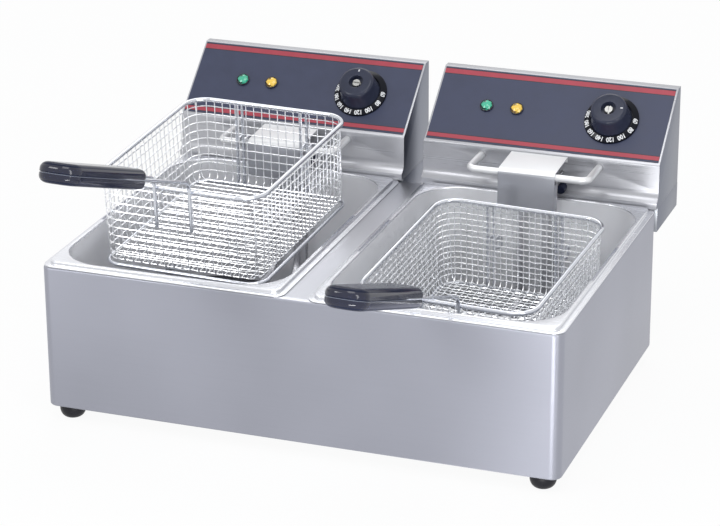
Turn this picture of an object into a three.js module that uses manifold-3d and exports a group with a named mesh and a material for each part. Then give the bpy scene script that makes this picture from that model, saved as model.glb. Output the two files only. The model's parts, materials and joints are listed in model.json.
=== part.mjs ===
// Twin-tank countertop deep fryer, in millimetres, +Z up and +Y to the rear.
//
// A folded steel casing on four rubber feet holds two lift-out oil tanks. Behind each tank a
// lift-off control head carries the thermostat, two lamps, a reset button, the hanging rail and
// the heating element that dips into the oil. Each side has a wire basket with a two-part grip:
// the left basket hangs drained on its rail and the right one stands in its tank.
import * as THREE from "three";
import { mergeVertices } from "three/addons/utils/BufferGeometryUtils.js";
import Module from "manifold-3d";

const wasm = await Module();
wasm.setup();

// ---------------------------------------------------------------- driving dimensions

const gap = 0.3; // clearance where one piece seats on another
const holeClearance = 0.4; // radial room around what passes through a sheet
const cutMargin = 5; // how far a cutting tool runs past what it cuts

// How finely round shapes are faceted: whole turned pieces, small round ones, wires and corners.
const facets = { turned: 24, small: 10, wireSides: 6, wireBend: 3, corner: 3, wideCorner: 4 };

const foot = { height: 16, topRadius: 13.8, bottomRadius: 6.5, insetX: 21.5, insetY: 18, studRadius: 3 };
foot.rimHeight = 6;
foot.studRise = 9;
foot.shoulderRadius = 6;

const casing = { width: 560, depth: 370.4, height: 156.6, wall: 1.2, cornerRadius: 11, lip: 8 };
casing.mouthRadius = 4;
casing.divider = 25; // flat strip of the top between the two tanks
casing.edge = 0.2; // what the top shows outside the tank flanges, left and right
casing.edgeFront = 1.2; // the same at the front and the rear

const vent = { length: 120, width: 8, pitch: 30 };

const tank = { wall: 1, flange: 5.5, flangeThickness: 1, riser: 5, rimWidth: 5, underside: 8 };
tank.flangeRadius = 12;
tank.rimRadius = 9;
tank.innerRadius = 47;
tank.openingRoom = 1.5; // room between the tank's body and the edge of the casing's opening
tank.notchLength = 100;
tank.notchWidth = 3.4;
tank.notchDepth = 4;
tank.notchInset = 0.6; // wall of the rim that stays outside the notch

const head = { wall: 1.2, sideOverlap: 1, drop: 25.8, bendRise: 49.4, topDepth: 11.1 };
head.panelLength = 100.1;
head.panelTilt = 40; // degrees from horizontal
head.faceOffset = 4; // face of the head behind the rear of the casing
head.skirtOffset = 1.3; // skirt of the head behind the rear of the casing
head.lipReach = 3.9; // how far the lower lip comes forward of the casing's rear
head.lipHeight = 7;
head.lipFade = 11;
head.louvreCount = 9;
head.louvreLength = 60;
head.louvreWidth = 4;
head.louvrePitch = 9;

const label = { thickness: 0.5, margin: 2.2, low: 3.6, high: 98.4 };
const lamp = { greenX: -73.7, amberX: -38.7, slope: 52, bezelRadius: 7.6, lensRadius: 5.9 };
lamp.bezelHeight = 1.6;
lamp.lensHeight = 4.2;
lamp.bodyRadius = 5.6;
lamp.bodyLength = 22;

const dial = { x: 70, slope: 50.5, radius: 30.4, rimHeight: 2.2, crestRadius: 24.4, crestHeight: 4.6 };
const knob = { baseRadius: 22.8, topRadius: 18.6, topHeight: 26.5, edge: 1.6, recessRadius: 8, recessDepth: 5.5 };
knob.skirtHeight = 3;
knob.leftAngle = 0; // pointer turned clockwise from the top, in degrees
knob.rightAngle = 84;
const spindle = { radius: 4.9, below: 9, proud: 3, collarRadius: 6.5 };
const thermostat = { width: 42, length: 42, depth: 28 };

const reset = { x: 27, rise: 13.2, radius: 5, proud: 6, bodyRadius: 8.5, bodyLength: 22, stemRadius: 2.5 };
reset.travel = 2.5;
const terminal = { width: 70, height: 18, depth: 24, rise: 32 };

const rail = { halfWidth: 67, radius: 4, bend: 9, reach: 47.2, rise: 39.9, anchor: 9, collar: 6.5 };
rail.collarLength = 3;
const cover = { width: 64, sheet: 1.2, clearance: 0.6, low: 3 };
cover.flangeDepth = 12;
cover.flangeHeight = 29;
cover.tabHeight = 6;
cover.bend = rail.radius + cover.clearance + cover.sheet; // it wraps round the front of the rail
cover.backDrop = 1; // from the bend of the head down to the rear edge of the cover

const element = { radius: 4, level: 27, riserX: 14, pitch: 36, riserRoom: 24, sideRoom: 28, frontRoom: 36 };
element.turnRoom = 66; // from the rear wall of the tank to the rear hairpins
element.nose = 30; // how far the outer loop runs past the inner hairpins at the front
element.entryRise = 27;
element.tail = 16;
const rest = { frontRoom: 21.5, rearRoom: 14.5, width: 14, sheet: 1.5, elementRoom: 3, shelf: 26, footWidth: 12 };
const bulb = { x: 26, radius: 3, length: 90, stemRadius: 1.6, bend: 8, entryRise: 30, tail: 14 };
const gland = { radius: 11, bore: 4.5, flangeRadius: 14, flangeThickness: 2.5, length: 24, slope: 34 };

const basket = { sideRoom: 28.2, endRoom: 54, standoff: 55, cornerRadius: 25, floorRadius: 20, taper: 3 };
basket.rimRadius = 2.5;
basket.frameRadius = 2;
basket.meshThickness = 1.6;
basket.hookX = 39; // centre of each hook from the middle of the basket
basket.hookHalf = 3.75; // half the distance between the two wires of one hook
basket.hookRadius = 1.75;
basket.hookRise = 45; // from the saddle of the hook up to the rim
basket.hookRun = 9.5; // from the leg of the hook to the middle of the rail
basket.hookTip = 15;

const handle = { half: 20, radius: 2, leg: 43, bendRise: 12.5, angle: 24, bend: 12, bare: 90, buried: 62 };
const grip = { length: 168, width: 44, height: 21, endRadius: 15, bevel: 7, boreRoom: 0.35 };
const screw = { along: 92, radius: 1.9, headRadius: 3.4, headHeight: 2.4, sink: 3.2, tip: 5 };

// How the two baskets sit: the left one hangs on its rail, the right one stands in its tank.
const hang = { pitch: 4, yaw: -3 };
const stand = { pitch: 4.3, yaw: -3.5, x: 1.5, y: -17, rimRise: 0.6 };

// ---------------------------------------------------------------- places worked out from them

const degrees = Math.PI / 180;
const topZ = foot.height + casing.height;
const frontY = -casing.depth / 2;
const rearY = casing.depth / 2;

const tankWidth = (casing.width - casing.divider - 2 * casing.edge) / 2;
const tankDepth = casing.depth - 2 * casing.edgeFront;
const sideX = (casing.divider + tankWidth) / 2;
const flangeZ = topZ + gap;
const rimZ = flangeZ + tank.riser;
const rimOuterWidth = tankWidth - 2 * tank.flange;
const rimOuterDepth = tankDepth - 2 * tank.flange;
const tankInnerWidth = rimOuterWidth - 2 * tank.rimWidth;
const tankInnerDepth = rimOuterDepth - 2 * tank.rimWidth;
const tankFloorZ = foot.height + tank.underside + tank.wall;

const headHalf = tankWidth / 2 + head.sideOverlap;
const faceY = rearY + head.faceOffset;
const skirtY = rearY + head.skirtOffset;
const lipY = rearY - head.lipReach;
const headBottomZ = topZ - head.drop;
const bendZ = topZ + head.bendRise;
const panelTopY = faceY + head.panelLength * Math.cos(head.panelTilt * degrees);
const panelTopZ = bendZ + head.panelLength * Math.sin(head.panelTilt * degrees);
const headRearY = panelTopY + head.topDepth;
const lipZ = flangeZ + tank.flangeThickness + gap;

const railY = faceY - rail.reach;
const railZ = topZ + rail.rise;
const resetZ = topZ + reset.rise;
const elementZ = tankFloorZ + element.level;
const elementEntryZ = topZ + element.entryRise;
const riserY = faceY - element.riserRoom;

const basketWidth = tankInnerWidth - 2 * basket.sideRoom;
const basketDepth = tankInnerDepth - 2 * basket.endRoom;
const basketHeight = rimZ - tankFloorZ - basket.standoff;
const floorReach = basketDepth / 2 - basket.floorRadius;

// ---------------------------------------------------------------- solids and transforms

function solid(geometry) {
  const bare = geometry.index ? geometry.toNonIndexed() : geometry.clone();
  bare.deleteAttribute("normal");
  bare.deleteAttribute("uv");
  const merged = mergeVertices(bare, 1e-4);
  const vertProperties = new Float32Array(merged.attributes.position.array);
  const triVerts = new Uint32Array(merged.index.array);
  return new wasm.Manifold(new wasm.Mesh({ numProp: 3, vertProperties, triVerts }));
}

function geometryOf(manifold) {
  const mesh = manifold.getMesh();
  const geometry = new THREE.BufferGeometry();
  geometry.setAttribute("position", new THREE.BufferAttribute(new Float32Array(mesh.vertProperties), 3));
  geometry.setIndex(new THREE.BufferAttribute(new Uint32Array(mesh.triVerts), 1));
  geometry.computeVertexNormals();
  return geometry;
}

function join(...geometries) {
  return geometryOf(geometries.map(solid).reduce((whole, piece) => whole.add(piece)));
}

function cut(body, ...tools) {
  return geometryOf(tools.map(solid).reduce((rest, tool) => rest.subtract(tool), solid(body)));
}

function block(x0, x1, y0, y1, z0, z1) {
  const geometry = new THREE.BoxGeometry(x1 - x0, y1 - y0, z1 - z0);
  return geometry.translate((x0 + x1) / 2, (y0 + y1) / 2, (z0 + z1) / 2);
}

// A rectangle with round corners, centred on the origin.
function roundedRectangle(width, depth, radius) {
  const x = width / 2 - radius;
  const y = depth / 2 - radius;
  const shape = new THREE.Shape();
  shape.absarc(x, y, radius, 0, Math.PI / 2);
  shape.absarc(-x, y, radius, Math.PI / 2, Math.PI);
  shape.absarc(-x, -y, radius, Math.PI, 1.5 * Math.PI);
  shape.absarc(x, -y, radius, 1.5 * Math.PI, 2 * Math.PI);
  return shape;
}

// An outline drawn in X and Y, raised from one level to another.
function slab(shape, z0, z1, curveSegments = facets.corner) {
  const options = { depth: z1 - z0, bevelEnabled: false, curveSegments };
  return new THREE.ExtrudeGeometry(shape, options).translate(0, 0, z0);
}

// An outline drawn in Y and Z, drawn out from one X to another.
function profileAlongX(shape, x0, x1, curveSegments = facets.wideCorner) {
  const options = { depth: x1 - x0, bevelEnabled: false, curveSegments };
  const geometry = new THREE.ExtrudeGeometry(shape, options).translate(0, 0, x0);
  const axes = new THREE.Matrix4().makeBasis(
    new THREE.Vector3(0, 1, 0),
    new THREE.Vector3(0, 0, 1),
    new THREE.Vector3(1, 0, 0),
  );
  return geometry.applyMatrix4(axes);
}

// A turned piece about +Z. The profile lists radius and height, and is closed by the axis.
function turned(profile, segments = facets.small) {
  const points = profile.map(([radius, height]) => new THREE.Vector2(radius, height));
  return new THREE.LatheGeometry(points, segments).rotateX(Math.PI / 2);
}

function rod(radius, z0, z1, segments = facets.small) {
  return turned([[0, z0], [radius, z0], [radius, z1], [0, z1]], segments);
}

// A path of straight runs with round bends, sampled only where it turns.
class WireRoute extends THREE.Curve {
  constructor(corners, bend, bendSteps) {
    super();
    this.stations = [];
    const last = corners.length - 1;
    this.addStation(corners[0], corners[1].clone().sub(corners[0]).normalize());
    for (let i = 1; i < last; i += 1) {
      this.addBend(corners[i - 1], corners[i], corners[i + 1], bend, bendSteps);
    }
    this.addStation(corners[last], corners[last].clone().sub(corners[last - 1]).normalize());
  }

  addStation(point, tangent) {
    const previous = this.stations.at(-1);
    if (!previous || previous.point.distanceTo(point) > 0.01) {
      this.stations.push({ point: point.clone(), tangent: tangent.clone() });
    }
  }

  addBend(before, corner, after, bend, bendSteps) {
    const incoming = corner.clone().sub(before).normalize();
    const outgoing = after.clone().sub(corner).normalize();
    const turn = incoming.angleTo(outgoing);
    const setback = bend * Math.tan(turn / 2);
    const start = corner.clone().addScaledVector(incoming, -setback);
    const inward = outgoing.clone().addScaledVector(incoming, -outgoing.dot(incoming)).normalize();
    const centre = start.clone().addScaledVector(inward, bend);
    for (let i = 0; i <= bendSteps; i += 1) {
      const angle = (turn * i) / bendSteps;
      const point = centre.clone().addScaledVector(incoming, bend * Math.sin(angle));
      point.addScaledVector(inward, -bend * Math.cos(angle));
      const tangent = incoming.clone().multiplyScalar(Math.cos(angle));
      tangent.addScaledVector(inward, Math.sin(angle));
      this.addStation(point, tangent);
    }
  }

  stationAt(share) {
    return this.stations[Math.round(share * (this.stations.length - 1))];
  }

  getPoint(share, target = new THREE.Vector3()) {
    return target.copy(this.stationAt(share).point);
  }

  getPointAt(share, target) {
    return this.getPoint(share, target);
  }

  getTangentAt(share, target = new THREE.Vector3()) {
    return target.copy(this.stationAt(share).tangent);
  }
}

// Round wire or tube through the given corners.
function wire(corners, radius, bend, sides = facets.wireSides, bendSteps = facets.wireBend) {
  const route = new WireRoute(corners.map((corner) => new THREE.Vector3(...corner)), bend, bendSteps);
  const section = new THREE.Shape();
  for (let i = 0; i < sides; i += 1) {
    const angle = (2 * Math.PI * (i + 0.5)) / sides;
    const reach = radius / Math.cos(Math.PI / sides / 2);
    section[i === 0 ? "moveTo" : "lineTo"](reach * Math.cos(angle), reach * Math.sin(angle));
  }
  section.closePath();
  return new THREE.ExtrudeGeometry(section, { steps: route.stations.length - 1, extrudePath: route });
}

// A level rectangular loop of wire with round corners, made of a left and a right half.
function wireLoop(width, depth, cornerRadius, z, radius) {
  const seam = 1;
  const half = (side) => [
    [-side * seam, -depth / 2, z],
    [(side * width) / 2, -depth / 2, z],
    [(side * width) / 2, depth / 2, z],
    [-side * seam, depth / 2, z],
  ];
  return [wire(half(1), radius, cornerRadius), wire(half(-1), radius, cornerRadius)];
}

// The panel's own frame: X across, Y up the slope, Z straight out of the panel.
const panelFrame = new THREE.Matrix4()
  .makeTranslation(0, faceY, bendZ)
  .multiply(new THREE.Matrix4().makeRotationX(head.panelTilt * degrees));

// ---------------------------------------------------------------- finishes

function finish(color, roughness, metalness) {
  return new THREE.MeshStandardMaterial({ color, roughness, metalness });
}

const satinSteel = () => finish("#b3b9c2", 0.36, 1);
const brightWire = () => finish("#d8dbe0", 0.2, 1);
const darkPlastic = () => finish("#23263a", 0.3, 0);
const blackRubber = () => finish("#232328", 0.8, 0);
const paleCeramic = () => finish("#d9d4c8", 0.6, 0);

// ---------------------------------------------------------------- casing and feet

function casingShell() {
  const outline = roundedRectangle(casing.width, casing.depth, casing.cornerRadius);
  const insideWidth = casing.width - 2 * casing.wall;
  const insideDepth = casing.depth - 2 * casing.wall;
  const inside = roundedRectangle(insideWidth, insideDepth, casing.cornerRadius - casing.wall);
  const mouthWidth = insideWidth - 2 * casing.lip;
  const mouthDepth = insideDepth - 2 * casing.lip;
  const mouth = roundedRectangle(mouthWidth, mouthDepth, casing.mouthRadius);
  const hollow = slab(inside, foot.height + casing.wall, topZ - casing.wall);
  const bottomOpening = slab(mouth, foot.height - cutMargin, foot.height + casing.wall + cutMargin);
  const openings = [-sideX, sideX].map((x) => tankOpening().translate(x, 0, 0));
  return cut(slab(outline, foot.height, topZ), hollow, bottomOpening, ...openings);
}

function tankOpening() {
  const grown = 2 * (tank.wall + tank.openingRoom);
  const radius = tank.innerRadius + tank.wall + tank.openingRoom;
  const outline = roundedRectangle(tankInnerWidth + grown, tankInnerDepth + grown, radius);
  return slab(outline, topZ - casing.wall - cutMargin, topZ + cutMargin, facets.wideCorner);
}

function footPlaces() {
  const x = casing.width / 2 - foot.insetX;
  const y = casing.depth / 2 - foot.insetY;
  return [
    { name: "foot_front_left", x: -x, y: -y },
    { name: "foot_front_right", x, y: -y },
    { name: "foot_rear_left", x: -x, y },
    { name: "foot_rear_right", x, y },
  ];
}

const plateZ = foot.height + casing.wall + gap;

function basePlate() {
  const width = casing.width - 2 * casing.wall - 2 * gap;
  const depth = casing.depth - 2 * casing.wall - 2 * gap;
  const outline = roundedRectangle(width, depth, casing.cornerRadius - casing.wall - gap);
  const studHole = foot.studRadius + holeClearance;
  const low = plateZ - cutMargin;
  const high = plateZ + casing.wall + cutMargin;
  const holes = footPlaces().map((place) => {
    return rod(studHole, low, high).translate(place.x, place.y, 0);
  });
  const vents = [-2, -1, 0, 1, 2].map((i) => {
    const y = i * vent.pitch;
    return block(-vent.length / 2, vent.length / 2, y - vent.width / 2, y + vent.width / 2, low, high);
  });
  return cut(slab(outline, plateZ, plateZ + casing.wall), ...holes, ...vents);
}

function rubberFoot() {
  const top = foot.height - gap;
  const round = foot.topRadius - foot.bottomRadius;
  const bowl = [30, 60].map((turn) => [
    foot.bottomRadius + round * Math.sin(turn * degrees),
    (top - foot.rimHeight) * (1 - Math.cos(turn * degrees)),
  ]);
  return turned([
    [0, 0],
    [foot.bottomRadius, 0],
    ...bowl,
    [foot.topRadius, top - foot.rimHeight],
    [foot.topRadius, top],
    [foot.shoulderRadius, top],
    [foot.shoulderRadius, plateZ - gap],
    [foot.studRadius, plateZ - gap],
    [foot.studRadius, plateZ + foot.studRise],
    [0, plateZ + foot.studRise],
  ], 12);
}

// ---------------------------------------------------------------- oil tank

function oilTank() {
  const bodyWidth = tankInnerWidth + 2 * tank.wall;
  const bodyDepth = tankInnerDepth + 2 * tank.wall;
  const bodyOutline = roundedRectangle(bodyWidth, bodyDepth, tank.innerRadius + tank.wall);
  const body = slab(bodyOutline, tankFloorZ - tank.wall, rimZ, facets.wideCorner);
  const rim = slab(roundedRectangle(rimOuterWidth, rimOuterDepth, tank.rimRadius), flangeZ, rimZ);
  const flangeOutline = roundedRectangle(tankWidth, tankDepth, tank.flangeRadius);
  const flange = slab(flangeOutline, flangeZ, flangeZ + tank.flangeThickness);
  const cavityOutline = roundedRectangle(tankInnerWidth, tankInnerDepth, tank.innerRadius);
  const cavity = slab(cavityOutline, tankFloorZ, rimZ + cutMargin, facets.wideCorner);
  return cut(join(body, rim, flange), cavity, rimUnderside(bodyOutline), ...notches());
}

// The rim is pressed sheet, so it is hollow below, except under the notches.
function rimUnderside(bodyOutline) {
  const width = rimOuterWidth - 2 * tank.wall;
  const depth = rimOuterDepth - 2 * tank.wall;
  const inner = roundedRectangle(width, depth, tank.rimRadius - tank.wall);
  const channel = slab(inner, flangeZ - cutMargin, rimZ - tank.wall);
  const body = slab(bodyOutline, flangeZ - 2 * cutMargin, rimZ + cutMargin, facets.wideCorner);
  return cut(channel, body, ...notches(tank.wall, flangeZ - 2 * cutMargin));
}

// A finger notch pressed into the rim on both long sides, to lift the tank out by.
function notches(room = 0, floor = rimZ - tank.notchDepth) {
  const width = tank.notchWidth + 2 * room;
  const outline = roundedRectangle(width, tank.notchLength + 2 * room, width / 2 - 0.05);
  return [-1, 1].map((side) => {
    const x = side * (rimOuterWidth / 2 - tank.notchInset - tank.notchWidth / 2);
    return slab(outline, floor, rimZ + cutMargin, 2).translate(x, 0, 0);
  });
}

// ---------------------------------------------------------------- control head

// Side view of the head's shell, in Y and Z, drawn in by the given distance on every side.
function headOutline(inset) {
  const shoulder = inset * Math.tan((head.panelTilt / 2) * degrees);
  const front = faceY + inset;
  const rear = headRearY - inset;
  const lipTop = lipZ + head.lipHeight;
  const shape = new THREE.Shape();
  shape.moveTo(rear, lipZ + inset);
  shape.lineTo(rear, panelTopZ - inset);
  shape.lineTo(panelTopY + shoulder, panelTopZ - inset);
  shape.lineTo(front, bendZ - inset * Math.tan((45 - head.panelTilt / 2) * degrees));
  shape.lineTo(front, lipTop + head.lipFade);
  shape.quadraticCurveTo(front, lipTop + head.lipFade / 3, lipY + inset, lipTop);
  shape.lineTo(lipY + inset, lipZ + inset);
  shape.closePath();
  return shape;
}

// The folded shell is open at the rear and below, behind the turned-in edge of its lip.
function headShell() {
  const outer = profileAlongX(headOutline(0), -headHalf, headHalf);
  const inner = profileAlongX(headOutline(head.wall), -headHalf + head.wall, headHalf - head.wall);
  const openX = headHalf - head.wall;
  const openRear = headRearY + cutMargin;
  const rearOpening = block(-openX, openX, headRearY - 3 * head.wall, openRear, lipZ - cutMargin,
    panelTopZ - head.wall);
  const lipEdge = skirtY + head.wall;
  const bottomOpening = block(-openX, openX, lipEdge, openRear, lipZ - cutMargin, lipZ + 3 * head.wall);
  const panelHoles = panelHolePlaces.map((place) => panelTool(place));
  return cut(outer, inner, rearOpening, bottomOpening, ...panelHoles, ...faceHoles());
}

// Holes in the panel and its label for the two lamps and the bushing of the thermostat.
const panelHolePlaces = [
  { x: lamp.greenX, slope: lamp.slope, radius: lamp.bodyRadius },
  { x: lamp.amberX, slope: lamp.slope, radius: lamp.bodyRadius },
  { x: dial.x, slope: dial.slope, radius: spindle.collarRadius },
];

function panelTool({ x, slope, radius }) {
  const tool = rod(radius + holeClearance, -cutMargin, cutMargin).translate(x, slope, 0);
  return tool.applyMatrix4(panelFrame);
}

// Holes in the upright face for the rail, the element, the sensor and the reset button.
function faceHoles() {
  const places = [
    { x: -rail.halfWidth, z: railZ, radius: rail.radius },
    { x: rail.halfWidth, z: railZ, radius: rail.radius },
    { x: -element.riserX, z: elementEntryZ, radius: element.radius },
    { x: element.riserX, z: elementEntryZ, radius: element.radius },
    { x: bulb.x, z: topZ + bulb.entryRise, radius: bulb.stemRadius },
    { x: reset.x, z: resetZ, radius: reset.radius },
  ];
  return places.map((place) => {
    const tool = rod(place.radius + holeClearance, -3 * cutMargin, 3 * cutMargin).rotateX(Math.PI / 2);
    return tool.translate(place.x, faceY, place.z);
  });
}

// Rear and bottom of the head: a tray under the shell, with a tall rear wall that closes it.
function headBackCover() {
  const trayTop = lipZ - gap;
  const outer = block(-headHalf, headHalf, skirtY, headRearY, headBottomZ, trayTop);
  const openHalf = headHalf - head.wall;
  const openFront = skirtY + head.wall;
  const openRear = headRearY - head.wall;
  const inner = block(-openHalf, openHalf, openFront, openRear, headBottomZ + head.wall, trayTop + cutMargin);
  const rearHalf = openHalf - gap;
  const rearTop = panelTopZ - head.wall - gap;
  const rear = block(-rearHalf, rearHalf, openRear, headRearY, headBottomZ, rearTop);
  const glandHole = rod(gland.radius + holeClearance, -cutMargin, cutMargin).rotateX(Math.PI / 2);
  glandHole.translate(0, headRearY, headBottomZ + gland.slope);
  return cut(join(cut(outer, inner), rear), glandHole, ...louvres());
}

function louvres() {
  const slots = [];
  for (let i = 0; i < head.louvreCount; i += 1) {
    const x = (i - (head.louvreCount - 1) / 2) * head.louvrePitch * 1.6;
    const z = panelTopZ - 50;
    const slot = block(x - head.louvreWidth / 2, x + head.louvreWidth / 2, headRearY - cutMargin,
      headRearY + cutMargin, z - head.louvreLength / 2, z + head.louvreLength / 2);
    slots.push(slot);
  }
  return slots;
}

// Everything in the panel's frame is drawn with Z out of the panel, 0 at the sheet's outside.
function panelLabel() {
  const half = headHalf - label.margin;
  const middle = (label.low + label.high) / 2;
  const outline = roundedRectangle(2 * half, label.high - label.low, 1.5);
  const plate = slab(outline, gap, gap + label.thickness, 2).translate(0, middle, 0);
  const holes = panelHolePlaces.map((place) => {
    return rod(place.radius + holeClearance, -cutMargin, cutMargin).translate(place.x, place.slope, 0);
  });
  return cut(plate, ...holes);
}

const labelTop = gap + label.thickness;

function indicatorLamp(x) {
  const base = labelTop + gap;
  const profile = [
    [0, -lamp.bodyLength],
    [lamp.bodyRadius, -lamp.bodyLength],
    [lamp.bodyRadius, base],
    [lamp.bezelRadius, base],
    [lamp.bezelRadius - 0.5, base + lamp.bezelHeight],
    [lamp.lensRadius, base + lamp.bezelHeight],
    [lamp.lensRadius * 0.85, base + lamp.lensHeight * 0.8],
    [lamp.lensRadius * 0.45, base + lamp.lensHeight],
    [0, base + lamp.lensHeight],
  ];
  return turned(profile).translate(x, lamp.slope, 0);
}

// The ring with the scale is fixed to the panel, and the knob turns inside it.
function dialRing() {
  const base = labelTop + gap;
  const bore = knob.baseRadius + 2 * gap;
  const profile = [
    [bore, base],
    [dial.radius, base],
    [dial.radius, base + dial.rimHeight - 0.8],
    [dial.radius - 0.6, base + dial.rimHeight],
    [dial.crestRadius, base + dial.crestHeight],
    [bore, base + dial.crestHeight],
    [bore, base],
  ];
  return turned(profile, facets.turned);
}

function thermostatKnob() {
  const base = labelTop + 2 * gap;
  const bore = spindle.radius + 0.06;
  const floor = knob.topHeight - knob.recessDepth;
  const profile = [
    [bore, base],
    [knob.baseRadius, base],
    [knob.baseRadius, base + knob.skirtHeight],
    [knob.topRadius + knob.edge, knob.topHeight - 2 * knob.edge],
    [knob.topRadius, knob.topHeight - knob.edge / 2],
    [knob.topRadius - knob.edge, knob.topHeight],
    [knob.recessRadius, knob.topHeight],
    [knob.recessRadius, floor],
    [bore, floor],
    [bore, base],
  ];
  return turned(profile, facets.turned);
}

function thermostatSpindle() {
  const tip = knob.topHeight - knob.recessDepth + spindle.proud;
  const shaft = turned([
    [0, -spindle.below],
    [spindle.radius, -spindle.below],
    [spindle.radius, tip - 0.6],
    [spindle.radius - 0.6, tip],
    [0, tip],
  ]);
  const slotZ = tip - 1.5;
  const slot = block(-spindle.radius - 1, spindle.radius + 1, -0.6, 0.6, slotZ, tip + cutMargin);
  return cut(shaft, slot);
}

function thermostatBody() {
  const top = -head.wall - gap;
  const half = thermostat.width / 2;
  const long = thermostat.length / 2;
  const body = block(-half, half, -long, long, top - thermostat.depth, top);
  const bushing = turned([
    [0, top - 2],
    [spindle.collarRadius, top - 2],
    [spindle.collarRadius, labelTop - gap],
    [0, labelTop - gap],
  ]);
  const well = rod(spindle.radius + gap, -spindle.below - gap, cutMargin);
  return cut(join(body, bushing), well);
}

function cutoutBody() {
  const start = skirtY + head.wall + gap + 8;
  const body = rod(reset.bodyRadius, 0, reset.bodyLength, 16).rotateX(-Math.PI / 2);
  body.translate(reset.x, start, resetZ);
  const wellDepth = reset.travel + 2;
  const well = rod(reset.stemRadius + gap, -cutMargin, wellDepth + 2).rotateX(-Math.PI / 2);
  well.translate(reset.x, start, resetZ);
  const flange = block(reset.x - 13, reset.x + 13, start, start + 1.5, resetZ - 4, resetZ + 4);
  return cut(join(body, flange), well);
}

// The button's stem runs in a well of the cut-out, and its cap comes out through the face.
function resetButton() {
  const start = skirtY + head.wall + gap + 8;
  const front = lipY - reset.proud + 2;
  const length = start - gap - reset.travel - front;
  const profile = [
    [0, 0],
    [reset.radius - 1.2, 0],
    [reset.radius, 1.2],
    [reset.radius, length],
    [reset.stemRadius, length],
    [reset.stemRadius, length + reset.travel + gap + 2],
    [0, length + reset.travel + gap + 2],
  ];
  return turned(profile, 16).rotateX(-Math.PI / 2).translate(reset.x, front, resetZ);
}

function terminalBlock() {
  const y0 = faceY + head.wall + element.tail + gap;
  const z = topZ + terminal.rise;
  const half = terminal.width / 2;
  const low = z - terminal.height / 2;
  const body = block(-half, half, y0, y0 + terminal.depth, low, low + terminal.height);
  const slots = [-1, 0, 1].map((i) => {
    const x = (i * terminal.width) / 4;
    return block(x - 3, x + 3, y0 + 6, y0 + terminal.depth - 6, z + 2, z + terminal.height);
  });
  return cut(body, ...slots);
}

function hangingRail() {
  const back = faceY + head.wall + rail.anchor;
  const x = rail.halfWidth;
  const route = [[-x, back, railZ], [-x, railY, railZ], [x, railY, railZ], [x, back, railZ]];
  const bar = wire(route, rail.radius, rail.bend, 8);
  const collars = [-1, 1].map((side) => {
    const nut = rod(rail.collar, 0, rail.collarLength, 6).rotateX(-Math.PI / 2);
    return nut.translate(side * x, faceY + head.wall + gap, railZ);
  });
  return join(bar, ...collars);
}

// Bent sheet that leaves the face below the bend, passes over the rail and drops in front of it.
function elementCover() {
  const half = cover.width / 2;
  const front = railY - cover.bend;
  const back = faceY - gap;
  const bottom = topZ + cover.low;
  const skin = cut(
    profileAlongX(coverOutline(0, 0), -half, half),
    profileAlongX(coverOutline(cover.sheet, cutMargin), -half - cutMargin, half + cutMargin),
  );
  const returnFront = front + cover.sheet / 2;
  const returnRear = front + cover.flangeDepth;
  const returns = [-1, 1].map((side) => {
    const x = side * (half - cover.sheet / 2);
    const low = x - cover.sheet / 2;
    return block(low, low + cover.sheet, returnFront, returnRear, bottom, bottom + cover.flangeHeight);
  });
  const top = bendZ - cover.backDrop;
  const tab = block(-half, half, back - cover.sheet, back, top - cover.tabHeight, top - cover.sheet / 2);
  return join(skin, tab, ...returns);
}

// Side view of the cover in Y and Z, drawn in by the sheet and run on at its open edges.
function coverOutline(inset, runOn) {
  const back = faceY - gap + runOn;
  const bottom = topZ + cover.low - runOn;
  const radius = cover.bend - inset;
  const shape = new THREE.Shape();
  shape.moveTo(back, bottom);
  shape.lineTo(back, bendZ - cover.backDrop - inset);
  shape.lineTo(railY, railZ + radius);
  shape.absarc(railY, railZ, radius, Math.PI / 2, Math.PI, false);
  shape.lineTo(railY - radius, bottom);
  shape.closePath();
  return shape;
}

// One tube: down behind the cover, through three hairpins on each side, and back up.
function heatingElement() {
  const x1 = element.riserX;
  const x2 = x1 + element.pitch;
  const x3 = tankInnerWidth / 2 - element.sideRoom;
  const rear = tankInnerDepth / 2 - element.turnRoom;
  const front = -tankInnerDepth / 2 + element.frontRoom;
  const inner = front + element.nose;
  const end = faceY + head.wall + element.tail;
  const halfRoute = (side) => [
    [side * x1, end, elementEntryZ],
    [side * x1, riserY, elementEntryZ],
    [side * x1, riserY, elementZ],
    [side * x1, inner, elementZ],
    [side * x2, inner, elementZ],
    [side * x2, rear, elementZ],
    [side * x3, rear, elementZ],
    [side * x3, front, elementZ],
  ];
  const corners = [...halfRoute(-1), ...halfRoute(1).reverse()];
  return wire(corners, element.radius, element.pitch / 2 - 0.01);
}

// Strip bent to a C: it carries the element on its web and the standing basket on its shelves.
function basketRest(y) {
  const half = tankInnerWidth / 2 - element.sideRoom + element.radius + rest.elementRoom + rest.sheet;
  const y0 = y - rest.width / 2;
  const y1 = y + rest.width / 2;
  const webTop = elementZ - element.radius - gap;
  const webLow = webTop - rest.sheet;
  const top = Math.min(undersideAt(y0, -1), undersideAt(y0, 1)) - gap;
  const web = block(-half, half, y0, y1, webLow, webTop);
  const sides = [-1, 1].flatMap((side) => {
    const across = (from, to, low, high) => {
      return block(Math.min(side * from, side * to), Math.max(side * from, side * to), y0, y1, low, high);
    };
    return [
      across(half - rest.sheet, half, webLow, top),
      across(half - rest.shelf, half, top - rest.sheet, top),
      across(half - rest.sheet, half, tankFloorZ + gap, webTop),
      across(half - rest.footWidth, half, tankFloorZ + gap, tankFloorZ + gap + rest.sheet),
    ];
  });
  return join(web, ...sides);
}

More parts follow.
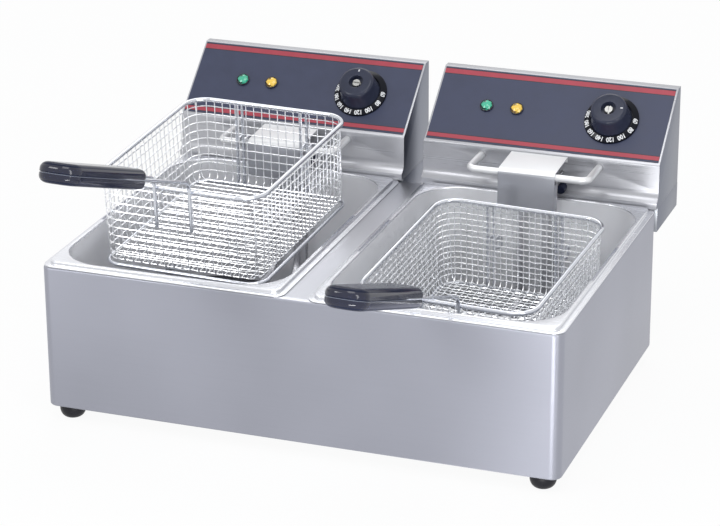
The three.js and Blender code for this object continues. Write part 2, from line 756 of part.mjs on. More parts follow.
// Height of the standing basket's underside, along one of its long sides.
function undersideAt(y, side) {
  const x = side * (basketWidth / 2 - basket.taper);
  const z = -basketHeight - basket.frameRadius;
  const rearEnd = new THREE.Vector3(x, floorReach, z).applyMatrix4(standingPlace());
  const frontEnd = new THREE.Vector3(x, -floorReach, z).applyMatrix4(standingPlace());
  const share = (y - frontEnd.y) / (rearEnd.y - frontEnd.y);
  return frontEnd.z + share * (rearEnd.z - frontEnd.z);
}

// Thermostat's feeler: a fine tube from the head down to a rod that lies on the element.
function sensorBulb() {
  const x = bulb.x;
  const back = faceY + head.wall + bulb.tail;
  const entry = topZ + bulb.entryRise;
  const level = elementZ + element.radius + gap + bulb.radius;
  const y = riserY;
  const start = y - 30;
  const route = [[x, back, entry], [x, y, entry], [x, y, level], [x, start - 1, level]];
  const stem = wire(route, bulb.stemRadius, bulb.bend);
  const body = rod(bulb.radius, 0, bulb.length, 12).rotateX(Math.PI / 2).translate(x, start, level);
  return join(stem, body);
}

function cableGland() {
  const profile = [
    [gland.bore, -6],
    [gland.radius, -6],
    [gland.radius, gap],
    [gland.flangeRadius, gap],
    [gland.flangeRadius, gap + gland.flangeThickness],
    [gland.radius - 1, gap + gland.flangeThickness],
    [gland.bore + 2.2, gap + gland.length],
    [gland.bore, gap + gland.length],
    [gland.bore, -6],
  ];
  const body = turned(profile).rotateX(-Math.PI / 2);
  return body.translate(0, headRearY, headBottomZ + gland.slope);
}

// ---------------------------------------------------------------- wire basket

// Basket pieces are drawn about the middle of the rim, with the handle towards -Y.
function basketFrame() {
  const floorZ = -basketHeight;
  const rim = wireLoop(basketWidth, basketDepth, basket.cornerRadius, 0, basket.rimRadius);
  const floorWidth = basketWidth - 2 * basket.taper;
  const floorDepth = basketDepth - 2 * basket.taper;
  const floor = wireLoop(floorWidth, floorDepth, basket.floorRadius, floorZ, basket.frameRadius);
  const hooks = [-1, 1].flatMap((side) => rearHook(side * basket.hookX, floorZ));
  return join(...rim, ...floor, ...hooks);
}

const hookLegY = basketDepth / 2 + gap + basket.hookRadius;
const hookTopZ = -basket.hookRise;

// Two upright wires on the rear wall, and a hairpin between them that hooks over the rail.
function rearHook(x, floorZ) {
  const left = x - basket.hookHalf;
  const right = x + basket.hookHalf;
  const root = hookTopZ - 14;
  const tip = hookTopZ - basket.hookTip;
  const outer = hookLegY + 2 * basket.hookRun;
  const legs = [left, right].map((legX) => {
    return wire([[legX, hookLegY, 0], [legX, hookLegY - basket.taper, floorZ]], basket.hookRadius, 1);
  });
  const hairpin = wire([
    [left, hookLegY - 0.4, root],
    [left, hookLegY - 0.2, hookTopZ],
    [left, outer, hookTopZ],
    [left, outer, tip],
    [right, outer, tip],
    [right, outer, hookTopZ],
    [right, hookLegY - 0.2, hookTopZ],
    [right, hookLegY - 0.4, root],
  ], basket.hookRadius, basket.hookHalf - 0.05, facets.wireSides, 2);
  return [...legs, hairpin];
}

// The wire cloth as a thin open-topped shell, with its top edge just under the rim.
function basketMesh() {
  const top = -basket.rimRadius - gap;
  const bottom = -basketHeight + basket.frameRadius + gap;
  const slope = basket.taper / basketHeight;
  const outer = taperedSlab(top, bottom, slope, 0);
  const inner = taperedSlab(top + cutMargin, bottom + basket.meshThickness, slope, basket.meshThickness);
  return cut(outer, inner);
}

// A rounded rectangle that shrinks evenly on its way down.
function taperedSlab(top, bottom, slope, inset) {
  const segments = facets.corner;
  const ring = (z) => {
    const shrink = inset - z * slope;
    const share = -z / basketHeight;
    const radius = basket.cornerRadius + (basket.floorRadius - basket.cornerRadius) * share - inset;
    const outline = roundedRectangle(basketWidth - 2 * shrink, basketDepth - 2 * shrink, radius);
    return outline.extractPoints(segments).shape.slice(0, -1).map((point) => [point.x, point.y, z]);
  };
  return loft(ring(bottom), ring(top));
}

// A closed solid between two rings with as many points each.
function loft(lower, upper) {
  const count = lower.length;
  const positions = [...lower, ...upper].flat();
  const indices = [];
  for (let i = 0; i < count; i += 1) {
    const next = (i + 1) % count;
    indices.push(i, next, count + next, i, count + next, count + i);
    if (i > 0 && i < count - 1) {
      indices.push(0, i + 1, i, count, count + i, count + i + 1);
    }
  }
  const geometry = new THREE.BufferGeometry();
  geometry.setAttribute("position", new THREE.Float32BufferAttribute(positions, 3));
  geometry.setIndex(indices);
  return geometry;
}

const handleY = -basketDepth / 2 - basket.rimRadius - gap - handle.radius;
const handleDirection = [-Math.cos(handle.angle * degrees), Math.sin(handle.angle * degrees)];

function handlePoint(x, along) {
  return [x, handleY + along * handleDirection[0], handle.bendRise + along * handleDirection[1]];
}

// One bent wire: up the front wall, out to the grip, across inside it and back.
function handleRoute() {
  const inside = handle.bare + handle.buried;
  return [
    [-handle.half, handleY, -handle.leg],
    [-handle.half, handleY, handle.bendRise],
    handlePoint(-handle.half, inside),
    handlePoint(handle.half, inside),
    [handle.half, handleY, handle.bendRise],
    [handle.half, handleY, -handle.leg],
  ];
}

function handleWire() {
  return wire(handleRoute(), handle.radius, handle.bend);
}

// The grip's own frame: Y points back along the handle, Z out of the upper half.
function gripFrame() {
  const middle = handlePoint(0, handle.bare + grip.length / 2);
  return new THREE.Matrix4()
    .makeTranslation(...middle)
    .multiply(new THREE.Matrix4().makeRotationX(-handle.angle * degrees));
}

function gripBody() {
  const width = grip.width - 2 * grip.bevel;
  const length = grip.length - 2 * grip.bevel;
  const outline = roundedRectangle(width, length, grip.endRadius - grip.bevel);
  const options = {
    depth: grip.height - 2 * grip.bevel,
    bevelThickness: grip.bevel,
    bevelSize: grip.bevel,
    bevelSegments: 3,
    curveSegments: 3,
  };
  return new THREE.ExtrudeGeometry(outline, options).translate(0, 0, -grip.height / 2 + grip.bevel);
}

function gripHalf(side) {
  const keepOut = block(-grip.width, grip.width, -grip.length, grip.length,
    side > 0 ? -grip.height : -gap / 2, side > 0 ? gap / 2 : grip.height);
  const bore = wire(handleRoute(), handle.radius + grip.boreRoom, handle.bend);
  bore.applyMatrix4(gripFrame().invert());
  return cut(gripBody(), keepOut, bore, screwTool(holeClearance));
}

const screwY = grip.length / 2 - screw.along;

function screwTool(room) {
  const low = -grip.height / 2;
  const shoulder = low + screw.sink + screw.headHeight;
  const tip = grip.height / 2 - screw.tip;
  const head = room > 0 ? low - cutMargin : low + screw.sink;
  return turned([
    [0, head],
    [screw.headRadius + room, head],
    [screw.headRadius + room, shoulder + room],
    [screw.radius + room, shoulder + room],
    [screw.radius + room, tip + room],
    [0, tip + room],
  ], 12).translate(0, screwY, 0);
}

// ---------------------------------------------------------------- assembly

function addPiece(parent, name, geometry, material) {
  const mesh = new THREE.Mesh(geometry, material);
  mesh.name = name;
  parent.add(mesh);
}

function addGroup(parent, matrix) {
  const group = new THREE.Group();
  if (matrix) matrix.decompose(group.position, group.quaternion, group.scale);
  parent.add(group);
  return group;
}

function addHead(side, name, knobAngle) {
  addPiece(side, `${name}_head_shell`, headShell(), satinSteel());
  addPiece(side, `${name}_head_back_cover`, headBackCover(), satinSteel());
  addPiece(side, `${name}_reset_button`, resetButton(), darkPlastic());
  addPiece(side, `${name}_cutout_body`, cutoutBody(), darkPlastic());
  addPiece(side, `${name}_terminal_block`, terminalBlock(), paleCeramic());
  addPiece(side, `${name}_hanging_rail`, hangingRail(), brightWire());
  addPiece(side, `${name}_element_cover`, elementCover(), satinSteel());
  addPiece(side, `${name}_heating_element`, heatingElement(), brightWire());
  addPiece(side, `${name}_basket_rest_front`, basketRest(stand.y - floorReach + rest.frontRoom), satinSteel());
  addPiece(side, `${name}_basket_rest_rear`, basketRest(stand.y + floorReach - rest.rearRoom), satinSteel());
  addPiece(side, `${name}_sensor_bulb`, sensorBulb(), brightWire());
  addPiece(side, `${name}_cable_gland`, cableGland(), darkPlastic());

  const panel = addGroup(side, panelFrame);
  addPiece(panel, `${name}_control_label`, panelLabel(), finish("#4b5269", 0.4, 0));
  addPiece(panel, `${name}_power_lamp`, indicatorLamp(lamp.greenX), finish("#50be96", 0.2, 0));
  addPiece(panel, `${name}_heating_lamp`, indicatorLamp(lamp.amberX), finish("#ebc35a", 0.2, 0));

  const control = addGroup(panel);
  control.position.set(dial.x, dial.slope, 0);
  addPiece(control, `${name}_dial_ring`, dialRing(), darkPlastic());
  addPiece(control, `${name}_thermostat_body`, thermostatBody(), paleCeramic());
  const turning = addGroup(control);
  turning.rotation.z = -knobAngle * degrees;
  addPiece(turning, `${name}_thermostat_knob`, thermostatKnob(), darkPlastic());
  addPiece(turning, `${name}_thermostat_spindle`, thermostatSpindle(), brightWire());
}

function addBasket(side, name, place) {
  const group = addGroup(side, place);
  addPiece(group, `${name}_basket_frame`, basketFrame(), brightWire());
  addPiece(group, `${name}_basket_mesh`, basketMesh(), brightWire());
  addPiece(group, `${name}_handle_wire`, handleWire(), brightWire());
  const held = addGroup(group, gripFrame());
  addPiece(held, `${name}_grip_upper`, gripHalf(1), darkPlastic());
  addPiece(held, `${name}_grip_lower`, gripHalf(-1), darkPlastic());
  addPiece(held, `${name}_grip_screw`, screwTool(0), brightWire());
}

function tiltAndTurn(pitch, yaw) {
  const turn = new THREE.Matrix4().makeRotationZ(yaw * degrees);
  return turn.multiply(new THREE.Matrix4().makeRotationX(pitch * degrees));
}

// The hooks' saddle, in the basket's frame, comes to rest on top of the rail.
function hangingPlace() {
  const turn = tiltAndTurn(hang.pitch, hang.yaw);
  const saddle = new THREE.Vector3(0, hookLegY + basket.hookRun, hookTopZ - basket.hookRadius);
  saddle.applyMatrix4(turn);
  const rest = new THREE.Vector3(0, railY, railZ + rail.radius + gap).sub(saddle);
  return new THREE.Matrix4().makeTranslation(rest.x, rest.y, rest.z).multiply(turn);
}

function standingPlace() {
  const turn = tiltAndTurn(stand.pitch, stand.yaw);
  return new THREE.Matrix4().makeTranslation(stand.x, stand.y, rimZ + stand.rimRise).multiply(turn);
}

const fryer = new THREE.Group();
fryer.name = "twin_deep_fryer";
addPiece(fryer, "casing", casingShell(), satinSteel());
addPiece(fryer, "base_plate", basePlate(), satinSteel());
for (const place of footPlaces()) {
  const corner = addGroup(fryer);
  corner.position.set(place.x, place.y, 0);
  addPiece(corner, place.name, rubberFoot(), blackRubber());
}

const sides = [
  { name: "left", x: -sideX, knobAngle: knob.leftAngle, basketPlace: hangingPlace() },
  { name: "right", x: sideX, knobAngle: knob.rightAngle, basketPlace: standingPlace() },
];
for (const { name, x, knobAngle, basketPlace } of sides) {
  const side = addGroup(fryer);
  side.position.x = x;
  addPiece(side, `${name}_tank`, oilTank(), satinSteel());
  addHead(side, name, knobAngle);
  addBasket(side, name, basketPlace);
}

// The origin is on the standing surface, in the middle of the whole object's outline.
fryer.updateMatrixWorld(true);
const bounds = new THREE.Box3().setFromObject(fryer, true);
const middle = bounds.getCenter(new THREE.Vector3());
fryer.position.set(-middle.x, -middle.y, -bounds.min.z);

export default fryer;
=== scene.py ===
"""Looks of the twin-tank deep fryer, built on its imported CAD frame, for Blender 4.5."""

import json
import math

import bmesh
import bpy
import numpy as np
from mathutils import Matrix, Vector

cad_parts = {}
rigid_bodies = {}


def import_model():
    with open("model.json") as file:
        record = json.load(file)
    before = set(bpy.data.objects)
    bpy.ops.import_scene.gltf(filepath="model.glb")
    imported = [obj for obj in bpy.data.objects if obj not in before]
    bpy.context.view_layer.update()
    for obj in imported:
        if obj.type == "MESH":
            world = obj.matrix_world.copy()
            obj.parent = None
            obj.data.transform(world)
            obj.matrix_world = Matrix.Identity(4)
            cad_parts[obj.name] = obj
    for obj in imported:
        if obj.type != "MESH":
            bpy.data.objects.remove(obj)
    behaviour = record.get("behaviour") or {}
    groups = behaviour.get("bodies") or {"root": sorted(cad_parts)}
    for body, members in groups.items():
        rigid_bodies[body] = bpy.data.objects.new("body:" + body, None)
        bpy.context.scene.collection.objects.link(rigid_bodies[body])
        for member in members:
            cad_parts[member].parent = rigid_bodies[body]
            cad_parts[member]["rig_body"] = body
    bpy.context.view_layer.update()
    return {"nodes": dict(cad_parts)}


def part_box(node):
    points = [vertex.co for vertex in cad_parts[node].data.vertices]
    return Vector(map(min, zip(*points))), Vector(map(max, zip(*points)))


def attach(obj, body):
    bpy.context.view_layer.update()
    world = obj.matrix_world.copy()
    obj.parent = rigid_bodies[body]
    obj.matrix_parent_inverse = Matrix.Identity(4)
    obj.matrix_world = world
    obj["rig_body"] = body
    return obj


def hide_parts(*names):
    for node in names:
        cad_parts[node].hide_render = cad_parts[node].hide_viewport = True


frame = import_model()

# ---- places, in mm
# x is measured from the middle of one side, y from the middle of the casing and z from the
# counter, as in the part's source.

MM = 0.001
CASING_LOW, CASING_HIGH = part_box("casing")
CASING_WIDTH = (CASING_HIGH.x - CASING_LOW.x) / MM
CASING_DEPTH = (CASING_HIGH.y - CASING_LOW.y) / MM
MIDDLE_Y = (CASING_HIGH.y + CASING_LOW.y) / 2 / MM
FOOT = CASING_LOW.z / MM
TOP_Z = CASING_HIGH.z / MM

GAP = 0.3
SHEET = 1.2
TANK_SHEET = 1

TANK_LOW, TANK_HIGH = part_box("left_tank")
TANK_WIDTH = (TANK_HIGH.x - TANK_LOW.x) / MM
TANK_DEPTH = (TANK_HIGH.y - TANK_LOW.y) / MM
FLANGE_Z = TOP_Z + GAP
RIM_Z = TANK_HIGH.z / MM
TANK_FLOOR_Z = TANK_LOW.z / MM + TANK_SHEET
FLANGE = 5.5
RIM_WIDTH = 5
FLANGE_RADIUS = 12
RIM_RADIUS = 9
TANK_RADIUS = 47
FLOOR_BEND = 9
RIM_OUTER = (TANK_WIDTH - 2 * FLANGE, TANK_DEPTH - 2 * FLANGE)
TANK_INNER = (RIM_OUTER[0] - 2 * RIM_WIDTH, RIM_OUTER[1] - 2 * RIM_WIDTH)

HEAD_HALF = TANK_WIDTH / 2 + 1
FACE_Y = CASING_DEPTH / 2 + 4
FACE_HEIGHT = 49.4
BEND_Z = TOP_Z + FACE_HEIGHT
PANEL_TILT = 40
PANEL_LENGTH = 100.1
HEAD_TOP = 11.1
HEAD_REAR_Y = FACE_Y + PANEL_LENGTH * math.cos(math.radians(PANEL_TILT)) + HEAD_TOP
LABEL_TOP = GAP + 0.5
LABEL_LOW = 3.6
LABEL_HIGH = 98.4
LABEL_MARGIN = 2.2

RAIL_HALF = 67
RAIL_RADIUS = 4
RAIL_REACH = 47.2
RAIL_HEIGHT = 39.9
RAIL_Y = FACE_Y - RAIL_REACH
RAIL_Z = TOP_Z + RAIL_HEIGHT
COVER_HALF = 32
COVER_PLAY = 0.6
COVER_BEND = RAIL_RADIUS + COVER_PLAY + SHEET

LAMP_X = {"power_lamp": -73.7, "heating_lamp": -38.7}
LAMP_COLOR = {"power_lamp": "green", "heating_lamp": "amber"}
LAMP_SLOPE = 52
DIAL_X = 70
DIAL_SLOPE = 50.5
KNOB_RADIUS = 22.8
KNOB_TOP = 26.5
KNOB_ANGLE = {"left": 0, "right": 84}

SIDE_ROOM = 28.2
END_ROOM = 54
FLOOR_ROOM = 55
BASKET_WIDTH = TANK_INNER[0] - 2 * SIDE_ROOM
BASKET_DEPTH = TANK_INNER[1] - 2 * END_ROOM
BASKET_HEIGHT = RIM_Z - TANK_FLOOR_Z - FLOOR_ROOM
BASKET_RADIUS = 25
BASKET_FLOOR_RADIUS = 20
BASKET_TAPER = 3
BASKET_RIM = 2.5
BASKET_TWIST = {"left": -3, "right": -3.5}
BASKET_TILT = {"left": 4, "right": 4.3}
STANDING_SEAT = (1.5, -17, RIM_Z + 0.6)
FLOOR_WIRE = 2
HOOK_X = 39
HOOK_HALF = 3.75
HOOK_WIRE = 1.75
HOOK_LEG_Y = BASKET_DEPTH / 2 + GAP + HOOK_WIRE
HOOK_TOP = -45
HOOK_RUN = 9.5

HANDLE_HALF = 20
HANDLE_WIRE = 2
HANDLE_Y = -BASKET_DEPTH / 2 - BASKET_RIM - GAP - HANDLE_WIRE
HANDLE_ANGLE = 24
HANDLE_RISE = 12.5
HANDLE_ROOT = -43
HANDLE_BARE = 90
HANDLE_IN_GRIP = 62
GRIP_LENGTH = 168
GRIP_WIDTH = 44
GRIP_HEIGHT = 21
GRIP_RADIUS = 18
SCREW_Y = GRIP_LENGTH / 2 - 92
SCREW_DEPTH = 3.2

SIDES = ("left", "right")


def turn(axis, degrees):
    return Matrix.Rotation(math.radians(degrees), 4, axis)


def shift(x, y, z):
    return Matrix.Translation((x, y, z))


TO_ROW = Matrix.Scale(MM, 4) @ shift(0, MIDDLE_Y, 0)


def side_frame(side):
    low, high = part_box(f"{side}_tank")
    return TO_ROW @ shift((low.x + high.x) / 2 / MM, 0, 0)


def panel_frame(side, x=0.0, slope=0.0):
    """X across, Y up the slope, Z straight out of the control panel."""
    return side_frame(side) @ shift(0, FACE_Y, BEND_Z) @ turn("X", PANEL_TILT) @ shift(x, slope, 0)


def basket_frame(side):
    """The middle of the basket's rim, with the handle towards -Y. The left basket hangs on its rail."""
    lean = turn("Z", BASKET_TWIST[side]) @ turn("X", BASKET_TILT[side])
    if side == "left":
        saddle = lean @ Vector((0, HOOK_LEG_Y + HOOK_RUN, HOOK_TOP - HOOK_WIRE))
        seat = Vector((0, RAIL_Y, RAIL_Z + RAIL_RADIUS + GAP)) - saddle
    else:
        seat = Vector(STANDING_SEAT)
    return side_frame(side) @ Matrix.Translation(seat) @ lean


# ---- camera

CAMERA_AZIMUTH = 20.0
CAMERA_ELEVATION = 21.51
CAMERA_ROLL = -0.34
CAMERA_POINT = (930.5, -2544.5 + MIDDLE_Y, 1195.7 + FOOT)
CAMERA_LENS = 136.935
CAMERA_SENSOR = 36
CAMERA_REACH = 50


def linked(name, data):
    """A new object in the scene."""
    made = bpy.data.objects.new(name, data)
    bpy.context.scene.collection.objects.link(made)
    return made


def add_camera():
    azimuth = math.radians(CAMERA_AZIMUTH)
    elevation = math.radians(CAMERA_ELEVATION)
    roll = math.radians(CAMERA_ROLL)
    level = math.cos(elevation)
    back = Vector((math.sin(azimuth) * level, -math.cos(azimuth) * level, math.sin(elevation)))
    right = Vector((math.cos(azimuth), math.sin(azimuth), 0))
    up = back.cross(right)
    rolled_right = math.cos(roll) * right + math.sin(roll) * up
    rolled_up = math.cos(roll) * up - math.sin(roll) * right
    data = bpy.data.cameras.new("camera")
    data.sensor_width = CAMERA_SENSOR
    data.lens = CAMERA_LENS
    data.clip_end = CAMERA_REACH
    camera = linked("camera", data)
    pose = Matrix((rolled_right, rolled_up, back)).transposed().to_4x4()
    pose.translation = Vector(CAMERA_POINT) * MM
    camera.matrix_world = pose
    bpy.context.scene.camera = camera


add_camera()

# ---- materials

# Features per metre of the grain, clouds, mottle and skin.
GRAIN_ACROSS = 900.0
GRAIN_ALONG = 9.0
CLOUDS = (6, 6, 6)
MOTTLE = (60, 60, 60)
SKIN = (700, 700, 700)

# How far level grinding draws highlights out, and its turn from the tangent.
LEVEL_GRAIN = 0.85
QUARTER_TURN = 0.25


def new_material(name, color, metallic=0.0):
    made = bpy.data.materials.new(name)
    made.use_nodes = True
    set_sockets(made, {"Base Color": (*color, 1), "Metallic": metallic})
    return made


def set_sockets(made, values, node_name="Principled BSDF"):
    fill(made, made.node_tree.nodes[node_name], values)


def fill(made, node, values):
    """Sets a node's inputs to plain values, or links them to other nodes' outputs."""
    for socket, value in values.items():
        if isinstance(value, bpy.types.NodeSocket):
            made.node_tree.links.new(value, node.inputs[socket])
        else:
            node.inputs[socket].default_value = value


def add_node(made, kind, values, output=0, **settings):
    """An output of a new node."""
    node = made.node_tree.nodes.new(f"ShaderNode{kind}")
    for name, value in settings.items():
        setattr(node, name, value)
    fill(made, node, values)
    return node.outputs[output]


def noise_for(made, scale, detail, roughness=0.5):
    """Noise in the row frame, stretched by the scale on each axis, in features per metre."""
    place = add_node(made, "TexCoord", {}, "Object")
    place = add_node(made, "Mapping", {"Vector": place, "Scale": scale})
    look = {"Vector": place, "Scale": 1, "Detail": detail, "Roughness": roughness}
    return add_node(made, "TexNoise", look, "Fac")


def spread(made, value, low, high):
    """The noise's useful middle, from 0.3 to 0.7, mapped to a range."""
    limits = {"Value": value, "From Min": 0.3, "From Max": 0.7, "To Min": low, "To Max": high}
    return add_node(made, "MapRange", limits, "Result")


def add_detail(made, color, tint, rough, height, lines, clouds, skin):
    """Noise in the roughness, the colour and the surface, whose height is in mm."""
    dark = [c * (1 - tint) for c in color]
    light = [c * (1 + tint) for c in color]
    shades = {0: spread(made, clouds, 0, 1), 6: (*dark, 1), 7: (*light, 1)}
    relief = {"Strength": 1, "Distance": height * MM, "Height": skin}
    look = {
        "Roughness": spread(made, lines, *rough),
        "Base Color": add_node(made, "Mix", shades, 2, data_type="RGBA"),
        "Normal": add_node(made, "Bump", relief, "Normal"),
    }
    set_sockets(made, look)


def brushed(name, color, grain, rough, tint=0.05, height=0.004, metallic=1.0):
    """Steel with fine grinding lines along one axis, and broad faint clouds."""
    made = new_material(name, color, metallic)
    scale = [GRAIN_ACROSS] * 3
    scale["XYZ".index(grain)] = GRAIN_ALONG
    lines = noise_for(made, scale, 4.0, 0.6)
    add_detail(made, color, tint, rough, height, lines, noise_for(made, CLOUDS, 2.0), lines)
    return made


def ground_level(made):
    """Grinding lines run level round the piece, so highlights are drawn out up and down."""
    tangent = add_node(made, "Tangent", {}, direction_type="RADIAL", axis="Z")
    look = {"Anisotropic": LEVEL_GRAIN, "Anisotropic Rotation": QUARTER_TURN, "Tangent": tangent}
    set_sockets(made, look)


def molded(name, color, rough, tint=0.12, height=0.01, shine=0.5, coat=0.0):
    """Moulded plastic or bakelite with a faint mottle and skin."""
    made = new_material(name, color)
    set_sockets(made, {"Specular IOR Level": shine, "Coat Weight": coat})
    mottle = noise_for(made, MOTTLE, 4.0, 0.6)
    add_detail(made, color, tint, rough, height, mottle, mottle, noise_for(made, SKIN, 2.0))
    return made


# Colour, grain axis, roughness from low to high, tint, height in mm, and how metallic.
BRUSHED = {
    "casing_steel": ((0.385, 0.395, 0.455), "X", (0.42, 0.48)),
    # Painted shade: a darker copy of the head steel for the heads' faces to the left and right.
    "side_shade_steel": ((0.225, 0.24, 0.29), "X", (0.42, 0.48)),
    "deck_steel": ((0.52, 0.53, 0.57), "X", (0.30, 0.36), 0.02, 0.001),
    "head_steel": ((0.44, 0.445, 0.475), "X", (0.26, 0.34), 0.03, 0.002, 0.5),
    # Painted light: one bent cover sheet gets a near-white copy of its steel on top and a darker copy on its
    # lower face.
    "cover_steel": ((0.94, 0.945, 0.955), "X", (0.3, 0.36), 0.02, 0.001, 0.1),
    "plate_steel": ((0.43, 0.44, 0.48), "X", (0.30, 0.34), 0.02, 0.001, 0.7),
    # Painted light: the tank's inner walls are near white to make up for the shade inside the tank, and the
    # flange and rim are a darker copy of the same steel.
    "tank_steel": ((0.96, 0.965, 0.99), "Z", (0.34, 0.40), 0.02, 0.001, 0.6),
    "rim_steel": ((0.72, 0.73, 0.77), "X", (0.25, 0.28), 0.015, 0.0005, 0.9),
    # Painted shade: a dark copy of the tank steel for the tank floor, standing in for the shadow under the
    # basket and element.
    "pan_steel": ((0.16, 0.163, 0.185), "X", (0.30, 0.36), 0.04, 0.001, 0.8),
    "back_steel": ((0.42, 0.44, 0.47), "X", (0.32, 0.44), 0.08),
    "rest_steel": ((0.48, 0.5, 0.54), "Y", (0.25, 0.35)),
    "bright_wire": ((0.64, 0.66, 0.71), "Z", (0.1, 0.2), 0.04, 0.001),
    "cloth_wire": ((0.95, 0.96, 0.98), "Z", (0.18, 0.26), 0.02, 0.001, 0.85),
    "rail_steel": ((0.80, 0.805, 0.82), "X", (0.34, 0.42), 0.03, 0.001, 0.5),
    "element_tube": ((0.60, 0.60, 0.63), "Y", (0.32, 0.5), 0.15, 0.01),
    "bulb_steel": ((0.5, 0.5, 0.52), "Y", (0.2, 0.34), 0.1, 0.003),
    "zinc": ((0.46, 0.46, 0.45), "Z", (0.2, 0.34), 0.06),
}
GROUND_LEVEL = ("casing_steel", "side_shade_steel")


def make_materials():
    made = {name: brushed(name, *values) for name, values in BRUSHED.items()}
    for name in GROUND_LEVEL:
        ground_level(made[name])

    def mold(name, *values, **gloss):
        made[name] = molded(name, *values, **gloss)

    # Painted highlight: a pale grey for the grip's seam chamfer, standing in for light caught along the seam.
    mold("seam_gray", (0.20, 0.22, 0.28), (0.12, 0.18))
    mold("bakelite", (0.016, 0.020, 0.042), (0.10, 0.16), shine=0.05)
    mold("bakelite_edge", (0.010, 0.012, 0.030), (0.08, 0.12))
    mold("knob_black", (0.026, 0.031, 0.056), (0.2, 0.28), shine=0.3)
    mold("dial_black", (0.006, 0.007, 0.012), (0.12, 0.18), shine=0.14)
    mold("black_nylon", (0.02, 0.02, 0.024), (0.38, 0.52))
    mold("foot_rubber", (0.008, 0.008, 0.012), (0.35, 0.5), 0.2, 0.05, shine=0.3)
    mold("label_film", (0.029, 0.037, 0.080), (0.34, 0.44), 0.06, 0.006)
    mold("label_red", (0.37, 0.040, 0.065), (0.34, 0.44), 0.05, 0.006)
    mold("label_line", (0.010, 0.010, 0.016), (0.34, 0.44), 0.1, 0.006)
    mold("print_white", (0.80, 0.81, 0.83), (0.35, 0.45), 0.03, 0.004)
    mold("lens_green", (0.05, 0.46, 0.29), (0.06, 0.12), 0.1, coat=0.4)
    mold("lens_amber", (0.88, 0.58, 0.08), (0.06, 0.12), 0.1, coat=0.4)
    # Painted shade: dark copies of the lens colours, laid on some of the lens facets.
    mold("deep_green", (0.002, 0.04, 0.03), (0.06, 0.12), 0.1)
    mold("deep_amber", (0.12, 0.06, 0.01), (0.06, 0.12), 0.1)
    mold("bezel_dark", (0.02, 0.02, 0.03), (0.2, 0.3), coat=0.3)
    mold("ceramic", (0.66, 0.62, 0.53), (0.5, 0.65), 0.06, 0.03)
    return made


MATERIALS = make_materials()

# ---- shapes


def rounded_ring(width, depth, radius, z, steps=10):
    """Points of a level rounded rectangle, counter-clockwise from the right-hand side."""
    points = []
    for corner in range(4):
        sign_x = 1 if corner in (0, 3) else -1
        sign_y = 1 if corner in (0, 1) else -1
        x = sign_x * (width / 2 - radius)
        y = sign_y * (depth / 2 - radius)
        for i in range(steps + 1):
            angle = math.pi / 2 * (corner + i / steps)
            points.append((x + radius * math.cos(angle), y + radius * math.sin(angle), z))
    return points


def bend_rings(outline, bend, z, rise, angles, steps=10):
    """Rings round a quarter bend: at 0 degrees on the outline and a whole rise from z.

    At 90 degrees they are a whole bend inside the outline, at z. A bend below 0 goes outwards.
    """
    width, depth, radius = outline
    rings = []
    for angle in angles:
        inset = bend * (1 - math.cos(math.radians(angle)))
        level = z + rise * (1 - math.sin(math.radians(angle)))
        rings.append(rounded_ring(width - 2 * inset, depth - 2 * inset, radius - inset, level, steps))
    return rings


def loft(rings, closed=False):
    """Quads between rings of as many points each, with flat ends unless it is closed."""
    count = len(rings[0])
    points = [point for ring in rings for point in ring]
    faces = []
    for level in range(len(rings) if closed else len(rings) - 1):
        low = level * count
        high = (level + 1) % len(rings) * count
        for i in range(count):
            j = (i + 1) % count
            faces.append((low + i, low + j, high + j, high + i))
    if not closed:
        faces.append(tuple(reversed(range(count))))
        faces.append(tuple(range(len(points) - count, len(points))))
    return points, faces


def turned(profile, segments=48):
    """A turned piece about +Z. The profile lists (radius, z) from axis to axis, or back to its start."""
    points = []
    starts = []
    for radius, z in profile:
        starts.append((len(points), radius > 1e-9))
        if radius > 1e-9:
            for i in range(segments):
                angle = 2 * math.pi * i / segments
                points.append((radius * math.cos(angle), radius * math.sin(angle), z))
        else:
            points.append((0, 0, z))
    faces = []
    for (low, low_ring), (high, high_ring) in zip(starts, starts[1:]):
        for i in range(segments):
            j = (i + 1) % segments
            if low_ring and high_ring:
                faces.append((low + i, low + j, high + j, high + i))
            elif high_ring:
                faces.append((low, high + j, high + i))
            elif low_ring:
                faces.append((low + i, low + j, high))
    return points, faces


def arc(x, z, radius, start, end, steps=6):
    """Points of an arc in a profile or path, between two angles in degrees."""
    found = []
    for i in range(steps + 1):
        angle = math.radians(start + (end - start) * i / steps)
        found.append((x + radius * math.cos(angle), z + radius * math.sin(angle)))
    return found


def route(corners, bend, steps=8):
    """A path of straight runs with round bends at its corners."""
    corners = [Vector(c) for c in corners]
    points = [corners[0]]
    for before, corner, after in zip(corners, corners[1:], corners[2:]):
        incoming = (corner - before).normalized()
        outgoing = (after - corner).normalized()
        angle = incoming.angle(outgoing)
        start = corner - incoming * bend * math.tan(angle / 2)
        inward = (outgoing - incoming * outgoing.dot(incoming)).normalized()
        centre = start + inward * bend
        for i in range(steps + 1):
            part = angle * i / steps
            points.append(centre + incoming * bend * math.sin(part) - inward * bend * math.cos(part))
    points.append(corners[-1])
    return points


